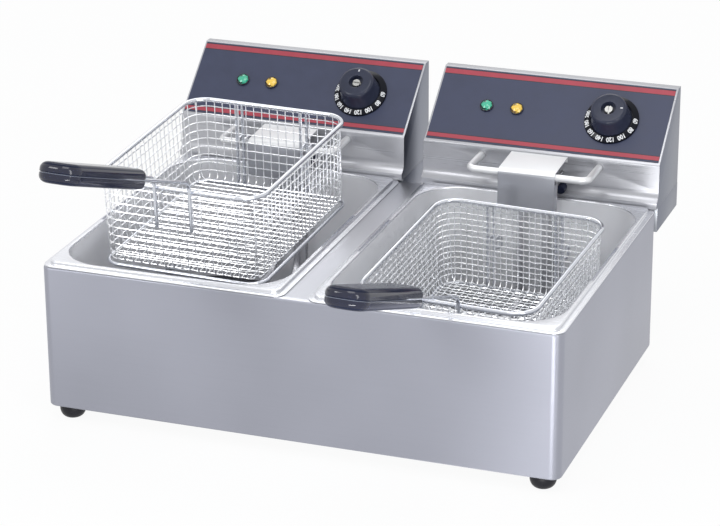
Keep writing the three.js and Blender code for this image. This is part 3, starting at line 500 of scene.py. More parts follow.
def wire(path, radius, sides=12, closed=False):
    """A round wire along the points, with flat ends unless it is closed."""
    path = np.asarray([tuple(p) for p in path], float)
    keep = np.ones(len(path), bool)
    keep[1:] = np.linalg.norm(np.diff(path, axis=0), axis=1) > 1e-6
    path = path[keep]
    if closed:
        ahead, behind = np.roll(path, -1, axis=0), np.roll(path, 1, axis=0)
    else:
        ahead, behind = np.vstack([path[1:], path[-1:]]), np.vstack([path[:1], path[:-1]])
    tangents = ahead - behind
    tangents /= np.linalg.norm(tangents, axis=1)[:, None]
    first = np.cross(tangents[0], (0, 0, 1))
    if np.linalg.norm(first) < 0.1:
        first = np.cross(tangents[0], (1, 0, 0))
    side = first / np.linalg.norm(first)
    angles = 2 * np.pi * np.arange(sides) / sides
    rings = []
    for point, tangent in zip(path, tangents):
        side = side - tangent * side.dot(tangent)
        side = side / np.linalg.norm(side)
        other = np.cross(tangent, side)
        rings.append(point + radius * (np.cos(angles)[:, None] * side + np.sin(angles)[:, None] * other))
    return loft(rings, closed)


def merged(parts):
    """Several (points, faces) as one."""
    points, faces, start = [], [], 0
    for some_points, some_faces in parts:
        points.extend(tuple(p) for p in some_points)
        faces.extend(tuple(i + start for i in face) for face in some_faces)
        start += len(some_points)
    return points, faces


def moved(part, matrix):
    points, faces = part
    return [matrix @ Vector(p) for p in points], faces


def box_part(low, high):
    x0, y0, z0 = low
    x1, y1, z1 = high
    ring = [(x0, y0), (x1, y0), (x1, y1), (x0, y1)]
    return loft([[(x, y, z0) for x, y in ring], [(x, y, z1) for x, y in ring]])


def along_x(outline, x0, x1):
    """A closed outline in Y and Z, drawn out along X."""
    return loft([[(x0, y, z) for y, z in outline], [(x1, y, z) for y, z in outline]])


# ---- pieces

EDGE_ANGLE = 40.0
# A face looks along an axis where its normal has more than this along it.
FACING = 0.8


def new_object(name, part, matrix):
    """(points, faces) as an object in the row frame, with its faces turned outwards."""
    points, faces = part
    mesh = bpy.data.meshes.new(name)
    mesh.from_pydata([matrix @ Vector(p) for p in points], [], faces)
    shape = bmesh.new()
    shape.from_mesh(mesh)
    bmesh.ops.recalc_face_normals(shape, faces=shape.faces)
    shape.to_mesh(mesh)
    shape.free()
    return linked(name, mesh)


def build(name, part, matrix, finishes, body, slot, node=None, smooth=EDGE_ANGLE, bevel=0.0):
    """A piece from (points, faces), on its body. The finishes are names with spaces between."""
    piece = new_object(name, part, matrix)
    for entry in finishes.split():
        piece.data.materials.append(MATERIALS[entry])
    if bevel:
        add_bevel(piece, bevel)
    shade(piece, smooth)
    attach(piece, body)
    if node:
        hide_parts(node)
    return piece


def side_piece(side, name, part, place, finishes, body, slot, node=None, **kind):
    """A piece of one side: its name, body and node all start with the side's name."""
    node = node and f"{side}_{node}"
    return build(f"{side}_{name}", part, place, finishes, f"{side}_{body}", slot, node, **kind)


def shade(piece, angle):
    mesh = piece.data
    mesh.polygons.foreach_set("use_smooth", [True] * len(mesh.polygons))
    mesh.set_sharp_from_angle(angle=math.radians(angle))


def add_bevel(piece, width_mm, segments=3):
    bevel = piece.modifiers.new("edges", "BEVEL")
    bevel.width = width_mm * MM
    bevel.segments = segments
    bevel.limit_method = "ANGLE"
    bevel.angle_limit = math.radians(EDGE_ANGLE)
    settle(piece)


def settle(piece):
    """Applies the piece's modifiers."""
    graph = bpy.context.evaluated_depsgraph_get()
    mesh = bpy.data.meshes.new_from_object(piece.evaluated_get(graph))
    piece.modifiers.clear()
    piece.data = mesh


def carve(piece, part, matrix, smooth=None):
    """Cuts a closed shape out of a piece that is already in the row frame."""
    cutter = new_object("cutter", part, matrix)
    cut = piece.modifiers.new("cut", "BOOLEAN")
    cut.operation = "DIFFERENCE"
    cut.solver = "EXACT"
    cut.object = cutter
    settle(piece)
    bpy.data.objects.remove(cutter)
    if smooth:
        shade(piece, smooth)


def polished(node, finish, bevel, wide=0.0, is_wide=None):
    """A CAD node's own shape with smooth round faces and broken edges, in its place."""
    source = frame["nodes"][node]
    shape = bmesh.new()
    shape.from_mesh(source.data)
    bmesh.ops.remove_doubles(shape, verts=shape.verts, dist=1e-6)
    flat = math.radians(0.5)
    bmesh.ops.dissolve_limit(
        shape, angle_limit=flat, verts=shape.verts, edges=shape.edges, use_dissolve_boundaries=False
    )
    bmesh.ops.recalc_face_normals(shape, faces=shape.faces)
    if wide:
        chosen = [edge for edge in shape.edges if is_wide(edge)]
        bmesh.ops.bevel(shape, geom=chosen, offset=wide * MM, segments=4, affect="EDGES", profile=0.5)
    mesh = bpy.data.meshes.new(f"{node}_finished")
    shape.to_mesh(mesh)
    shape.free()
    piece = linked(f"{node}_finished", mesh)
    mesh.materials.clear()
    mesh.materials.append(MATERIALS[finish])
    mesh.polygons.foreach_set("material_index", [0] * len(mesh.polygons))
    add_bevel(piece, bevel, 2)
    shade(piece, EDGE_ANGLE)
    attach(piece, source["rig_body"])
    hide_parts(node)
    return piece


# ---- casing and feet

CASING_RADIUS = 11
CASING_FOLD = 2.0
BOTTOM_LIP = 8
BOTTOM_LIP_RADIUS = 4
CUT_OUT_PLAY = 1.5


def make_casing():
    outer = (CASING_WIDTH, CASING_DEPTH, CASING_RADIUS)
    inside = (CASING_WIDTH - 2 * SHEET, CASING_DEPTH - 2 * SHEET, CASING_RADIUS - SHEET)
    mouth = (inside[0] - 2 * BOTTOM_LIP, inside[1] - 2 * BOTTOM_LIP, BOTTOM_LIP_RADIUS)
    ceiling = TOP_Z - SHEET
    rings = [
        rounded_ring(*inside, ceiling),
        rounded_ring(*inside, FOOT + SHEET),
        rounded_ring(*mouth, FOOT + SHEET),
        rounded_ring(*mouth, FOOT),
    ]
    rings += bend_rings(outer, CASING_FOLD, FOOT, CASING_FOLD, (90, 60, 30, 0))
    rings += bend_rings(outer, CASING_FOLD, TOP_Z, -CASING_FOLD, (0, 30, 60, 90))
    casing = build("casing_shell", loft(rings), TO_ROW, "casing_steel deck_steel", "casing_body",
                   "brushed_steel", "casing")
    room = 2 * (TANK_SHEET + CUT_OUT_PLAY)
    outline = (TANK_INNER[0] + room, TANK_INNER[1] + room, TANK_RADIUS + room / 2)
    for side in SIDES:
        tool = loft([rounded_ring(*outline, ceiling - 3), rounded_ring(*outline, TOP_Z + 3)])
        carve(casing, tool, side_frame(side))
    for face in casing.data.polygons:
        face.material_index = int(abs(face.normal.z) > FACING)
    shade(casing, EDGE_ANGLE)


def make_feet():
    """Rubber feet: a small flat base, a side that swells to the full radius, and a stub on top."""
    top = FOOT - GAP
    radius, waist = 13.8, 6.5
    base, base_edge = 5.7, 0.8
    swell = 10
    profile = [(0, 0), (base, 0)] + arc(base, base_edge, base_edge, -90, -50, 3)
    for i in range(9):
        angle = math.radians(10 + 80 * i / 8)
        profile.append((waist + (radius - waist) * math.sin(angle), swell * (1 - math.cos(angle)) + 0.3))
    profile += [(radius, swell + 0.5), (radius, top - 0.8), (radius - 0.6, top), (6, top), (6, top + 1)]
    profile.append((0, top + 1))
    for node in [f"foot_{end}_{side}" for end in ("front", "rear") for side in SIDES]:
        low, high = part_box(node)
        place = Matrix.Translation(((low.x + high.x) / 2, (low.y + high.y) / 2, 0)) @ Matrix.Scale(MM, 4)
        build(f"{node}_rubber", turned(profile), place, "foot_rubber", "casing_body", "black_rubber", node)
    polished("base_plate", "back_steel", 0.3)


# ---- tank

TANK_STEPS = 16
RISER_FILLET = 0.8
RIM_CROWN = 1.4
RIM_ROLL = 1.8
NOTCH_WIDTH = 3.4
NOTCH_LENGTH = 100
NOTCH_DEPTH = 4
NOTCH_EDGE = 0.6
# Finishes in the tank's list. The first is its inner wall's.
RIM, PAN, OUTSIDE = 1, 2, 3


def make_tank(side):
    tank = side_piece(side, "oil_tank", loft(tank_rings()), side_frame(side),
                      "tank_steel rim_steel pan_steel back_steel", "tank_body", "brushed_steel", "tank")
    x = RIM_OUTER[0] / 2 - NOTCH_EDGE - NOTCH_WIDTH / 2
    outline = (NOTCH_WIDTH, NOTCH_LENGTH, NOTCH_WIDTH / 2 - 0.05)
    notch = loft([rounded_ring(*outline, RIM_Z - NOTCH_DEPTH, 8), rounded_ring(*outline, RIM_Z + 3, 8)])
    for sign in (-1, 1):
        carve(tank, moved(notch, shift(sign * x, 0, 0)), side_frame(side))
    heart = side_frame(side) @ Vector((0, 0, (TANK_FLOOR_Z + RIM_Z) / 2))
    # Painted light: the inner walls keep the near-white steel against the tank's shade, and the flange and
    # rim get the darker copy.
    for face in tank.data.polygons:
        if face.center.z > (FLANGE_Z - 0.5) * MM:
            face.material_index = RIM
        elif face.normal.dot(face.center - heart) > 0:
            face.material_index = OUTSIDE
        # Painted shade: the floor and its bend get the dark steel, standing in for the shadow under the
        # basket and element.
        elif face.center.z < (TANK_FLOOR_Z + FLOOR_BEND) * MM:
            face.material_index = PAN
    shade(tank, 35)


def tank_rings():
    """From the middle of the underside, out to the flange, over the rim and down to the floor."""
    body = (TANK_INNER[0] + 2 * TANK_SHEET, TANK_INNER[1] + 2 * TANK_SHEET, TANK_RADIUS + TANK_SHEET)
    bottom_bend = FLOOR_BEND + TANK_SHEET
    flange_top = FLANGE_Z + TANK_SHEET
    bottom = TANK_FLOOR_Z - TANK_SHEET
    rings = bend_rings(body, bottom_bend, bottom, bottom_bend, range(90, -1, -15), TANK_STEPS)
    rings.append(rounded_ring(*body, FLANGE_Z, TANK_STEPS))
    rings.append(rounded_ring(TANK_WIDTH, TANK_DEPTH, FLANGE_RADIUS, FLANGE_Z, TANK_STEPS))
    for drop, inset in ((0.3, 0), (0.1, 0.1), (0, 0.4)):
        size = (TANK_WIDTH - 2 * inset, TANK_DEPTH - 2 * inset)
        rings.append(rounded_ring(*size, FLANGE_RADIUS - inset, flange_top - drop, TANK_STEPS))
    outer, inner = (*RIM_OUTER, RIM_RADIUS), (*TANK_INNER, TANK_RADIUS)
    rings += bend_rings(outer, -RISER_FILLET, flange_top, RISER_FILLET, (90, 60, 30, 0), TANK_STEPS)
    rings += bend_rings(outer, RIM_CROWN, RIM_Z, -RIM_CROWN, (0, 20, 40, 60, 80, 90), TANK_STEPS)
    rings += bend_rings(inner, -RIM_ROLL, RIM_Z, -RIM_ROLL, (90, 70, 50, 30, 10, 0), TANK_STEPS)
    rings += bend_rings(inner, FLOOR_BEND, TANK_FLOOR_Z, FLOOR_BEND, range(0, 91, 10), TANK_STEPS)
    return rings


# ---- control head


def outer_folds(node):
    """A test that picks a head shell's long outside folds from its edges."""
    low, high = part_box(node)

    def is_fold(edge):
        if edge.calc_length() < 40 * MM or len(edge.link_faces) != 2:
            return False
        if edge.calc_face_angle_signed(0) < math.radians(20):
            return False
        first, second = (vert.co for vert in edge.verts)
        middle = (first + second) / 2
        at_side = min(middle.x - low.x, high.x - middle.x) < 0.01 * MM
        across = abs(first.x - second.x) > (high.x - low.x) * 0.99
        return (at_side or across) and middle.z > low.z + 2 * MM

    return is_fold


def grind_sides(piece):
    """The faces to the left and right get a darker copy of the steel as painted shade, and are ground level
    like the casing's.
    """
    piece.data.materials.append(MATERIALS["side_shade_steel"])
    for face in piece.data.polygons:
        face.material_index = int(abs(face.normal.x) > FACING)


def make_head(side):
    node = f"{side}_head_shell"
    fold = 1.1
    grind_sides(polished(node, "head_steel", 0.2, fold, outer_folds(node)))
    grind_sides(polished(f"{side}_head_back_cover", "back_steel", 0.3))
    make_label(side)
    for lamp in LAMP_X:
        make_lamp(side, lamp)
    make_dial(side)
    make_knob(side)
    make_inside(side)
    make_rail(side)
    make_cover(side)
    make_element(side)


FILM, RED, LINE = range(3)
# Up the slope: each band's finish and where it ends. A thin line edges each red stripe.
LABEL_BANDS = (
    (FILM, 5.4), (LINE, 6.2), (RED, 11.2), (LINE, 12.0), (FILM, 89.3),
    (LINE, 90.1), (RED, 96.2), (LINE, 97.0), (FILM, LABEL_HIGH),
)


def make_label(side):
    """The film, with its printed stripes as bands of the same skin."""
    half = HEAD_HALF - LABEL_MARGIN
    stops = [LABEL_LOW] + [stop for _, stop in LABEL_BANDS]
    bands = [finish for finish, _ in LABEL_BANDS]
    points = []
    for y in stops:
        points += [(-half, y, LABEL_TOP), (half, y, LABEL_TOP)]
    faces = [(a, a + 1, a + 3, a + 2) for a in range(0, 2 * len(bands), 2)]
    start = len(points)
    for y in (LABEL_LOW, LABEL_HIGH):
        points += [(-half, y, GAP), (half, y, GAP)]
    last = start - 2
    left_edge = range(0, start, 2)
    right_edge = range(1, start, 2)
    faces.append((start, start + 2, start + 3, start + 1))
    faces.append((start, start + 1, 1, 0))
    faces.append((start + 3, start + 2, last, last + 1))
    faces.append((start, *left_edge, start + 2))
    faces.append((start + 3, *reversed(right_edge), start + 1))
    bands += [FILM] * 5
    piece = side_piece(side, "label_film", (points, faces), panel_frame(side),
                       "label_film label_red label_line", "head", "label_film", "control_label")
    piece.data.polygons.foreach_set("material_index", bands)


# Facets of the lens given a dark copy of its colour as painted shade, standing in for the dark depth and
# refraction seen in the lens, as (sector, ring).
LENS_SHADE_FACETS = {(4, 1), (4, 2), (5, 1), (5, 2), (2, 3), (2, 4)}


def make_lamp(side, node):
    color = LAMP_COLOR[node]
    slot = f"{color}_lens"
    place = panel_frame(side, LAMP_X[node], LAMP_SLOPE)
    base = LABEL_TOP + GAP
    bore, flange = 5.6, 7.2
    bezel = [(0, -22), (bore, -22), (bore, base), (flange, base)]
    bezel += arc(7.1, base + 0.5, 0.5, -90, 0, 3) + arc(7.1, base + 1.4, 0.45, 10, 110, 5)
    bezel += [(6.7, base + 1.5), (6.6, base + 0.8), (0, base + 0.8)]
    side_piece(side, f"{node}_bezel", turned(bezel), place, "bezel_dark", "head", slot, node)
    lens = side_piece(side, f"{node}_lens", lens_part(6.5, base + 0.7, 3.5), place,
                      f"lens_{color} deep_{color}", "head", slot, smooth=12)
    for i, face in enumerate(lens.data.polygons):
        face.material_index = int(divmod(i - 1, 5) in LENS_SHADE_FACETS)


def lens_part(radius, z, height):
    """A domed lens with a star of flat facets."""
    sides = 8
    points = []
    for share, rise, offset in ((1, 0, 0), (1, 0.3, 0), (0.8, 0.68, 0.5), (0.45, 0.92, 0)):
        reach = radius * share
        for i in range(sides):
            angle = 2 * math.pi * (i + offset) / sides
            points.append((reach * math.cos(angle), reach * math.sin(angle), z + height * rise))
    faces = [tuple(reversed(range(sides)))]
    low, mid, high = sides, 2 * sides, 3 * sides
    for i in range(sides):
        j = (i + 1) % sides
        faces.append((i, j, low + j, low + i))
        faces.append((low + i, low + j, mid + i))
        faces.append((low + j, mid + j, mid + i))
        faces.append((mid + i, high + j, high + i))
        faces.append((mid + i, mid + j, high + j))
    points.append((0, 0, z + height))
    for i in range(sides):
        faces.append((high + i, high + (i + 1) % sides, len(points) - 1))
    return points, faces


NUMERAL_HEIGHT = 4.6
NUMERAL_RADIUS = 27.0
DIAL_FIRST = 90
DIAL_STEP = 26.5


def make_dial(side):
    """A ring with a conical face, and its numbers laid on that face as raised print."""
    place = panel_frame(side, DIAL_X, DIAL_SLOPE)
    base = LABEL_TOP + GAP
    bore = KNOB_RADIUS + 2 * GAP
    inner, outer = 24.4, 30.4
    rim, crest = base + 2.2, base + 4.6
    ring = [(bore, base), (outer, base), (outer, rim - 0.8), (outer - 0.2, rim - 0.25)]
    ring += [(outer - 0.7, rim), (inner + 0.3, crest - 0.1), (inner, crest)]
    ring += [(bore + 0.3, crest), (bore, crest - 0.3), (bore, base)]
    side_piece(side, "dial", turned(ring, 96), place, "dial_black", "head", "black_bakelite", "dial_ring",
               smooth=25)
    slope = (crest - rim) / (outer - 0.7 - inner)
    parts = []
    for i, value in enumerate(range(60, 201, 20)):
        around = turn("Z", -DIAL_FIRST - DIAL_STEP * i)
        parts.append(moved(numeral_part(str(value), NUMERAL_HEIGHT), around @ shift(0, NUMERAL_RADIUS, 0)))
        parts.append(moved(box_part((-0.2, 24.7, 0), (0.2, 25.6, 0.1)), around))
    points, faces = merged(parts)
    laid = [(x, y, crest - (math.hypot(x, y) - inner) * slope + 0.02 + z) for x, y, z in points]
    side_piece(side, "dial_numbers", (laid, faces), place, "print_white", "head", "black_bakelite",
               smooth=20)


def numeral_part(text, height):
    """A number as flat raised print, centred, with its top away from the dial's middle."""
    print_half = 0.05
    curve = bpy.data.curves.new("numeral", "FONT")
    curve.body = text
    curve.size = height * 1.35
    curve.align_x = "CENTER"
    curve.align_y = "CENTER"
    curve.extrude = print_half
    curve.offset = 0.2
    curve.resolution_u = 3
    holder = linked("numeral", curve)
    graph = bpy.context.evaluated_depsgraph_get()
    mesh = bpy.data.meshes.new_from_object(holder.evaluated_get(graph))
    points = [tuple(v.co + Vector((0, 0, print_half))) for v in mesh.vertices]
    faces = [tuple(p.vertices) for p in mesh.polygons]
    bpy.data.objects.remove(holder)
    return points, faces


def make_knob(side):
    place = panel_frame(side, DIAL_X, DIAL_SLOPE) @ turn("Z", -KNOB_ANGLE[side])
    body = "knob"
    base = LABEL_TOP + 2 * GAP
    bore = 4.96
    top = KNOB_TOP
    floor = top - 5.5
    skirt = KNOB_RADIUS
    profile = [(bore, base), (skirt - 0.3, base), (skirt, base + 0.3), (skirt, base + 2.6)]
    profile += [(skirt - 0.3, base + 3), (20.2, top - 5.6)] + arc(16.0, top - 4, 4, 10, 90, 10)
    profile += [(8.8, top)] + arc(8.8, top - 0.8, 0.8, 90, 180, 4)
    profile += [(8.0, floor), (bore, floor), (bore, base)]
    side_piece(side, "knob_body", turned(profile, 96), place, "knob_black", body, "black_bakelite",
               "thermostat_knob", smooth=30)
    mark = box_part((-0.6, 13.2, top - 0.05), (0.6, 16.0, top + 0.03))
    side_piece(side, "knob_pointer", mark, place, "print_white", body, "black_bakelite")
    tip = floor + 3
    shaft = [(0, -9), (4.4, -9), (4.9, -8.5), (4.9, tip - 0.7), (4.3, tip), (0, tip)]
    spindle = side_piece(side, "spindle_end", turned(shaft), place, "zinc", body, "bright_wire",
                         "thermostat_spindle")
    slot_half = 0.9
    carve(spindle, box_part((-6, -slot_half, tip - 2), (6, slot_half, tip + 2)), place, 35)


def make_inside(side):
    polished(f"{side}_thermostat_body", "ceramic", 0.3)
    polished(f"{side}_terminal_block", "ceramic", 0.3)
    polished(f"{side}_cutout_body", "black_nylon", 0.3)
    low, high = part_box(f"{side}_reset_button")
    length = (high.y - low.y) / MM
    button = [(0, 0), (2.5, 0.15)] + arc(3.6, 1.4, 1.4, -90, 0, 6) + [(5, length - 5.2), (2.5, length - 5)]
    button += [(2.5, length), (0, length)]
    side_piece(side, "reset_cap", turned(button), facing_back(low, high, low.y), "bakelite", "button",
               "black_bakelite", "reset_button")
    gland = [(4.5, -6), (11, -6), (11, 0.3), (14, 0.3), (14, 2.3), (13.6, 2.8), (10.2, 2.8), (9.8, 6)]
    gland += [(9.2, 6.4), (9.2, 9), (8.7, 9.4), (8.7, 12), (8.2, 12.4), (8.2, 15), (7.6, 15.4), (7.6, 18)]
    gland += [(7.1, 18.4), (6.9, 23.8), (6.4, 24.3), (4.8, 24.3), (4.5, 23.8), (4.5, -6)]
    place = facing_back(*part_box(f"{side}_cable_gland"), HEAD_REAR_Y * MM + MIDDLE_Y * MM)
    side_piece(side, "cord_gland", turned(gland), place, "black_nylon", "head", "black_rubber",
               "cable_gland")


def facing_back(low, high, y):
    """Z towards the rear, from the middle of a box in x and z."""
    spot = ((low.x + high.x) / 2, y, (low.z + high.z) / 2)
    return Matrix.Translation(spot) @ Matrix.Scale(MM, 4) @ turn("X", -90)


def make_rail(side):
    back = FACE_Y + SHEET + 9
    corners = [(-RAIL_HALF, back, RAIL_Z), (-RAIL_HALF, RAIL_Y, RAIL_Z)]
    corners += [(RAIL_HALF, RAIL_Y, RAIL_Z), (RAIL_HALF, back, RAIL_Z)]
    parts = [wire(route(corners, 9, 12), RAIL_RADIUS, 24)]
    nut = turned([(0, 0), (5.6, 0), (6.4, 0.5), (6.4, 2.5), (5.6, 3), (0, 3)], 6)
    for sign in (-1, 1):
        parts.append(moved(nut, shift(sign * RAIL_HALF, FACE_Y + SHEET + GAP, RAIL_Z) @ turn("X", -90)))
    side_piece(side, "rail", merged(parts), side_frame(side), "rail_steel", "head", "bright_wire",
               "hanging_rail", smooth=35)


def make_cover(side):
    """Sheet bent over the rail, from a tab on the face to a plate in front of the risers."""
    back = FACE_Y - GAP
    top = BEND_Z - 1
    tab = top - 6
    bottom = TOP_Z + 3
    front = RAIL_Y - COVER_BEND
    lean = math.degrees(math.atan2(top - RAIL_Z - COVER_BEND, back - RAIL_Y))
    leave = 90 + lean * 0.3
    outer = [(back, tab), (back, top - SHEET)] + arc(back - SHEET, top - SHEET, SHEET, 0, 90, 4)
    outer += arc(RAIL_Y, RAIL_Z, COVER_BEND, leave, 180, 14) + [(front, bottom)]
    inner = [(front + SHEET, bottom)] + arc(RAIL_Y, RAIL_Z, COVER_BEND - SHEET, 180, leave, 14)
    inner += [(back - SHEET, top - SHEET - 0.2), (back - SHEET, tab)]
    parts = [along_x(outer + inner, -COVER_HALF, COVER_HALF)]
    for sign in (-1, 1):
        x = sign * (COVER_HALF - SHEET / 2)
        low = (x - SHEET / 2, front + SHEET / 2, bottom)
        parts.append(box_part(low, (x + SHEET / 2, front + 12, bottom + 29)))
    cover = side_piece(side, "riser_cover", merged(parts), side_frame(side), "cover_steel plate_steel",
                       "head", "brushed_steel", "element_cover", smooth=35, bevel=0.25)
    # Painted light: the bent top is near white as a painted highlight, and the lower face is darker as a
    # painted reflection of the dark tank. Both are one sheet.
    for face in cover.data.polygons:
        face.material_index = int(face.center.z < (RAIL_Z + COVER_BEND * 0.4) * MM)


ELEMENT_RADIUS = 4
ELEMENT_BEND = 17.99
ELEMENT_LIFT = 27
SENSOR_X = 26
SENSOR_LENGTH = 90
SENSOR_RADIUS = 3


def make_element(side):
    level = TANK_FLOOR_Z + ELEMENT_LIFT
    entry = TOP_Z + 27
    riser_y = FACE_Y - 24
    x1 = 14
    x2 = x1 + 36
    x3 = TANK_INNER[0] / 2 - 28
    rear = TANK_INNER[1] / 2 - 66
    front = -TANK_INNER[1] / 2 + 36
    inner = front + 30
    end = FACE_Y + SHEET + 16
    half = [(x1, end, entry), (x1, riser_y, entry), (x1, riser_y, level), (x1, inner, level)]
    half += [(x2, inner, level), (x2, rear, level), (x3, rear, level), (x3, front, level)]
    corners = [(-x, y, z) for x, y, z in half] + half[::-1]
    tube = wire(route(corners, ELEMENT_BEND, 10), ELEMENT_RADIUS, 16)
    side_piece(side, "element_tube", tube, side_frame(side), "element_tube", "head", "bright_wire",
               "heating_element")
    make_sensor(side, riser_y, level + ELEMENT_RADIUS + GAP + SENSOR_RADIUS)
    for end_name in ("front", "rear"):
        polished(f"{side}_basket_rest_{end_name}", "rest_steel", 0.25)


def make_sensor(side, riser_y, z):
    """The bulb lies on the element, and its thin stem goes up beside the risers and back."""
    x = SENSOR_X
    entry = TOP_Z + 30
    corners = [(x, FACE_Y + SHEET + 14, entry), (x, riser_y, entry), (x, riser_y, z), (x, riser_y - 32, z)]
    tip = SENSOR_LENGTH
    rod = [(0, 0), (2.4, 0.1), (SENSOR_RADIUS, 0.7), (SENSOR_RADIUS, tip - 1.4), (2.4, tip - 0.1), (0, tip)]
    bulb = moved(turned(rod, 24), shift(x, riser_y - 30, z) @ turn("X", 90))
    side_piece(side, "sensor", merged([wire(route(corners, 8), 1.6), bulb]), side_frame(side), "bulb_steel",
               "head", "bright_wire", "sensor_bulb")


# ---- basket

FRAME_STEPS = 16


def make_basket(side):
    place = basket_frame(side)
    for name, part, finish, node in (
        ("frame_wires", frame_wires(), "bright_wire", "basket_frame"),
        ("wire_cloth", wire_cloth(side), "cloth_wire", "basket_mesh"),
        ("handle_bow", handle_bow(), "bright_wire", "handle_wire"),
    ):
        side_piece(side, name, part, place, finish, "basket", "bright_wire", node)
    make_grip(side)


def frame_wires():
    width, depth = BASKET_WIDTH, BASKET_DEPTH
    floor = (width - 2 * BASKET_TAPER, depth - 2 * BASKET_TAPER, BASKET_FLOOR_RADIUS, -BASKET_HEIGHT)
    parts = [
        wire(rounded_ring(width, depth, BASKET_RADIUS, 0, FRAME_STEPS), BASKET_RIM, 16, True),
        wire(rounded_ring(*floor, FRAME_STEPS), FLOOR_WIRE, 12, True),
    ]
    for sign in (-1, 1):
        parts += hook_wires(sign * HOOK_X)
    return merged(parts)


def hook_wires(x):
    """Two legs down the rear wall, and one wire bent into a double hook behind them."""
    left, right = x - HOOK_HALF, x + HOOK_HALF
    y = HOOK_LEG_Y
    outer = y + 2 * HOOK_RUN
    half = [(left, y - 0.4, HOOK_TOP - 14), (left, y - 0.2, HOOK_TOP)]
    half += [(left, outer, HOOK_TOP), (left, outer, HOOK_TOP - 15)]
    corners = half + [(right, y, z) for _, y, z in reversed(half)]
    wires = [wire([(leg, y, 0), (leg, y - BASKET_TAPER, -BASKET_HEIGHT)], HOOK_WIRE) for leg in (left, right)]
    return [*wires, wire(route(corners, HOOK_HALF - 0.05, 5), HOOK_WIRE)]


# The left basket's cloth is wider and nearly straight, and the right one's is closer and deeply woven.
CLOTH_PITCH = {"left": 9.6, "right": 6.6}
CLOTH_CRIMP = {"left": 0.2, "right": 0.5}
CLOTH_WIRE = {"left": 0.6, "right": 0.75}
CLOTH_SKIN = 2 * CLOTH_WIRE["right"]
CLOTH_FLOOR = -BASKET_HEIGHT + FLOOR_WIRE + GAP + CLOTH_SKIN
CLOTH_BEND = 6.0
CLOTH_SIDES = 5
CLOTH_FIRST = 7.0


def wall_radius(z):
    share = -z / BASKET_HEIGHT
    return BASKET_RADIUS + (BASKET_FLOOR_RADIUS - BASKET_RADIUS) * share - CLOTH_SKIN


def wall_inset(z):
    return BASKET_TAPER * -z / BASKET_HEIGHT + CLOTH_SKIN


def wall_reach(across, z, half_across, half_along):
    """How far the cloth's wall stands from the middle, where its outline is cut at a distance."""
    radius = wall_radius(z)
    straight = half_across - wall_inset(z) - radius
    past = max(abs(across) - straight, 0)
    return half_along - wall_inset(z) - radius + math.sqrt(max(radius * radius - past * past, 0))


def weave(side, along, phase):
    """How far a wire swings to one side as it passes over and under the wires that cross it."""
    return CLOTH_CRIMP[side] * math.cos(math.pi * along / CLOTH_PITCH[side] + phase)


def crossing_wire(side, across, half_across, half_along, phase):
    """A wire down one wall, over the floor and up the other: (along, z) points, woven."""
    step = CLOTH_PITCH[side] / 3
    wall = []
    z = 0.0
    while z > CLOTH_FLOOR + CLOTH_BEND:
        swing = weave(side, z + CLOTH_FIRST, phase)
        wall.append((wall_reach(across, z, half_across, half_along) + swing, z))
        z -= step
    foot = wall_reach(across, CLOTH_FLOOR + CLOTH_BEND, half_across, half_along)
    wall += arc(foot - CLOTH_BEND, CLOTH_FLOOR + CLOTH_BEND, CLOTH_BEND, 0, -90, 3)
    along = wall[-1][0] - step
    count = int(2 * along / step)
    floor = []
    for i in range(count + 1):
        at = along - 2 * along * i / count
        floor.append((at, CLOTH_FLOOR + weave(side, at, phase)))
    return wall + floor + [(-a, z) for a, z in reversed(wall)]


def wire_places(half, pitch):
    """Even places on both sides of the middle, kept out of the corners' last bend."""
    count = int((2 * half - 12) / pitch) + 1
    return [(i - (count - 1) / 2) * pitch for i in range(count)]


def wire_cloth(side):
    pitch, radius = CLOTH_PITCH[side], CLOTH_WIRE[side]
    half_x, half_y = BASKET_WIDTH / 2, BASKET_DEPTH / 2
    parts = []
    for i, x in enumerate(wire_places(half_x, pitch)):
        path = crossing_wire(side, x, half_x, half_y, math.pi * (i % 2))
        parts.append(wire([(x, along, z) for along, z in path], radius, CLOTH_SIDES))
    for i, y in enumerate(wire_places(half_y, pitch)):
        path = crossing_wire(side, y, half_y, half_x, math.pi * ((i + 1) % 2))
        parts.append(wire([(along, y, z) for along, z in path], radius, CLOTH_SIDES))
    hoops = int((-CLOTH_FLOOR - CLOTH_FIRST - 3) / pitch) + 1
    for i in range(hoops):
        parts.append(wire(hoop(side, -CLOTH_FIRST - pitch * i, i % 2), radius, CLOTH_SIDES, True))
    return merged(parts)


def hoop(side, z, odd):
    """A level wire round the basket, woven through the upright ones."""
    radius = wall_radius(z)
    x = BASKET_WIDTH / 2 - wall_inset(z)
    y = BASKET_DEPTH / 2 - wall_inset(z)
    path = []
    for wall in range(4):
        reach, half = (x, y) if wall % 2 == 0 else (y, x)
        straight = half - radius
        steps = int(4 * straight / CLOTH_PITCH[side])
        row = []
        for i in range(steps + 1):
            at = -straight + 2 * straight * i / steps
            row.append((reach + weave(side, at, math.pi * (odd + 1)), at))
        row += arc(reach - radius, straight, radius, 0, 90, 8)[1:-1]
        turned_by = math.pi / 2 * wall
        for out, at in row:
            path.append((out * math.cos(turned_by) - at * math.sin(turned_by),
                         out * math.sin(turned_by) + at * math.cos(turned_by), z))
    return path


def handle_point(x, along):
    lift = math.radians(HANDLE_ANGLE)
    return (x, HANDLE_Y - along * math.cos(lift), HANDLE_RISE + along * math.sin(lift))


def handle_bow():
    """One wire: up the front wall, out into the grip, across and back."""
    half, inside = HANDLE_HALF, HANDLE_BARE + HANDLE_IN_GRIP
    corners = [(-half, HANDLE_Y, HANDLE_ROOT), (-half, HANDLE_Y, HANDLE_RISE), handle_point(-half, inside)]
    corners += [(-x, y, z) for x, y, z in reversed(corners)]
    return wire(route(corners, 12, 12), HANDLE_WIRE, 14)


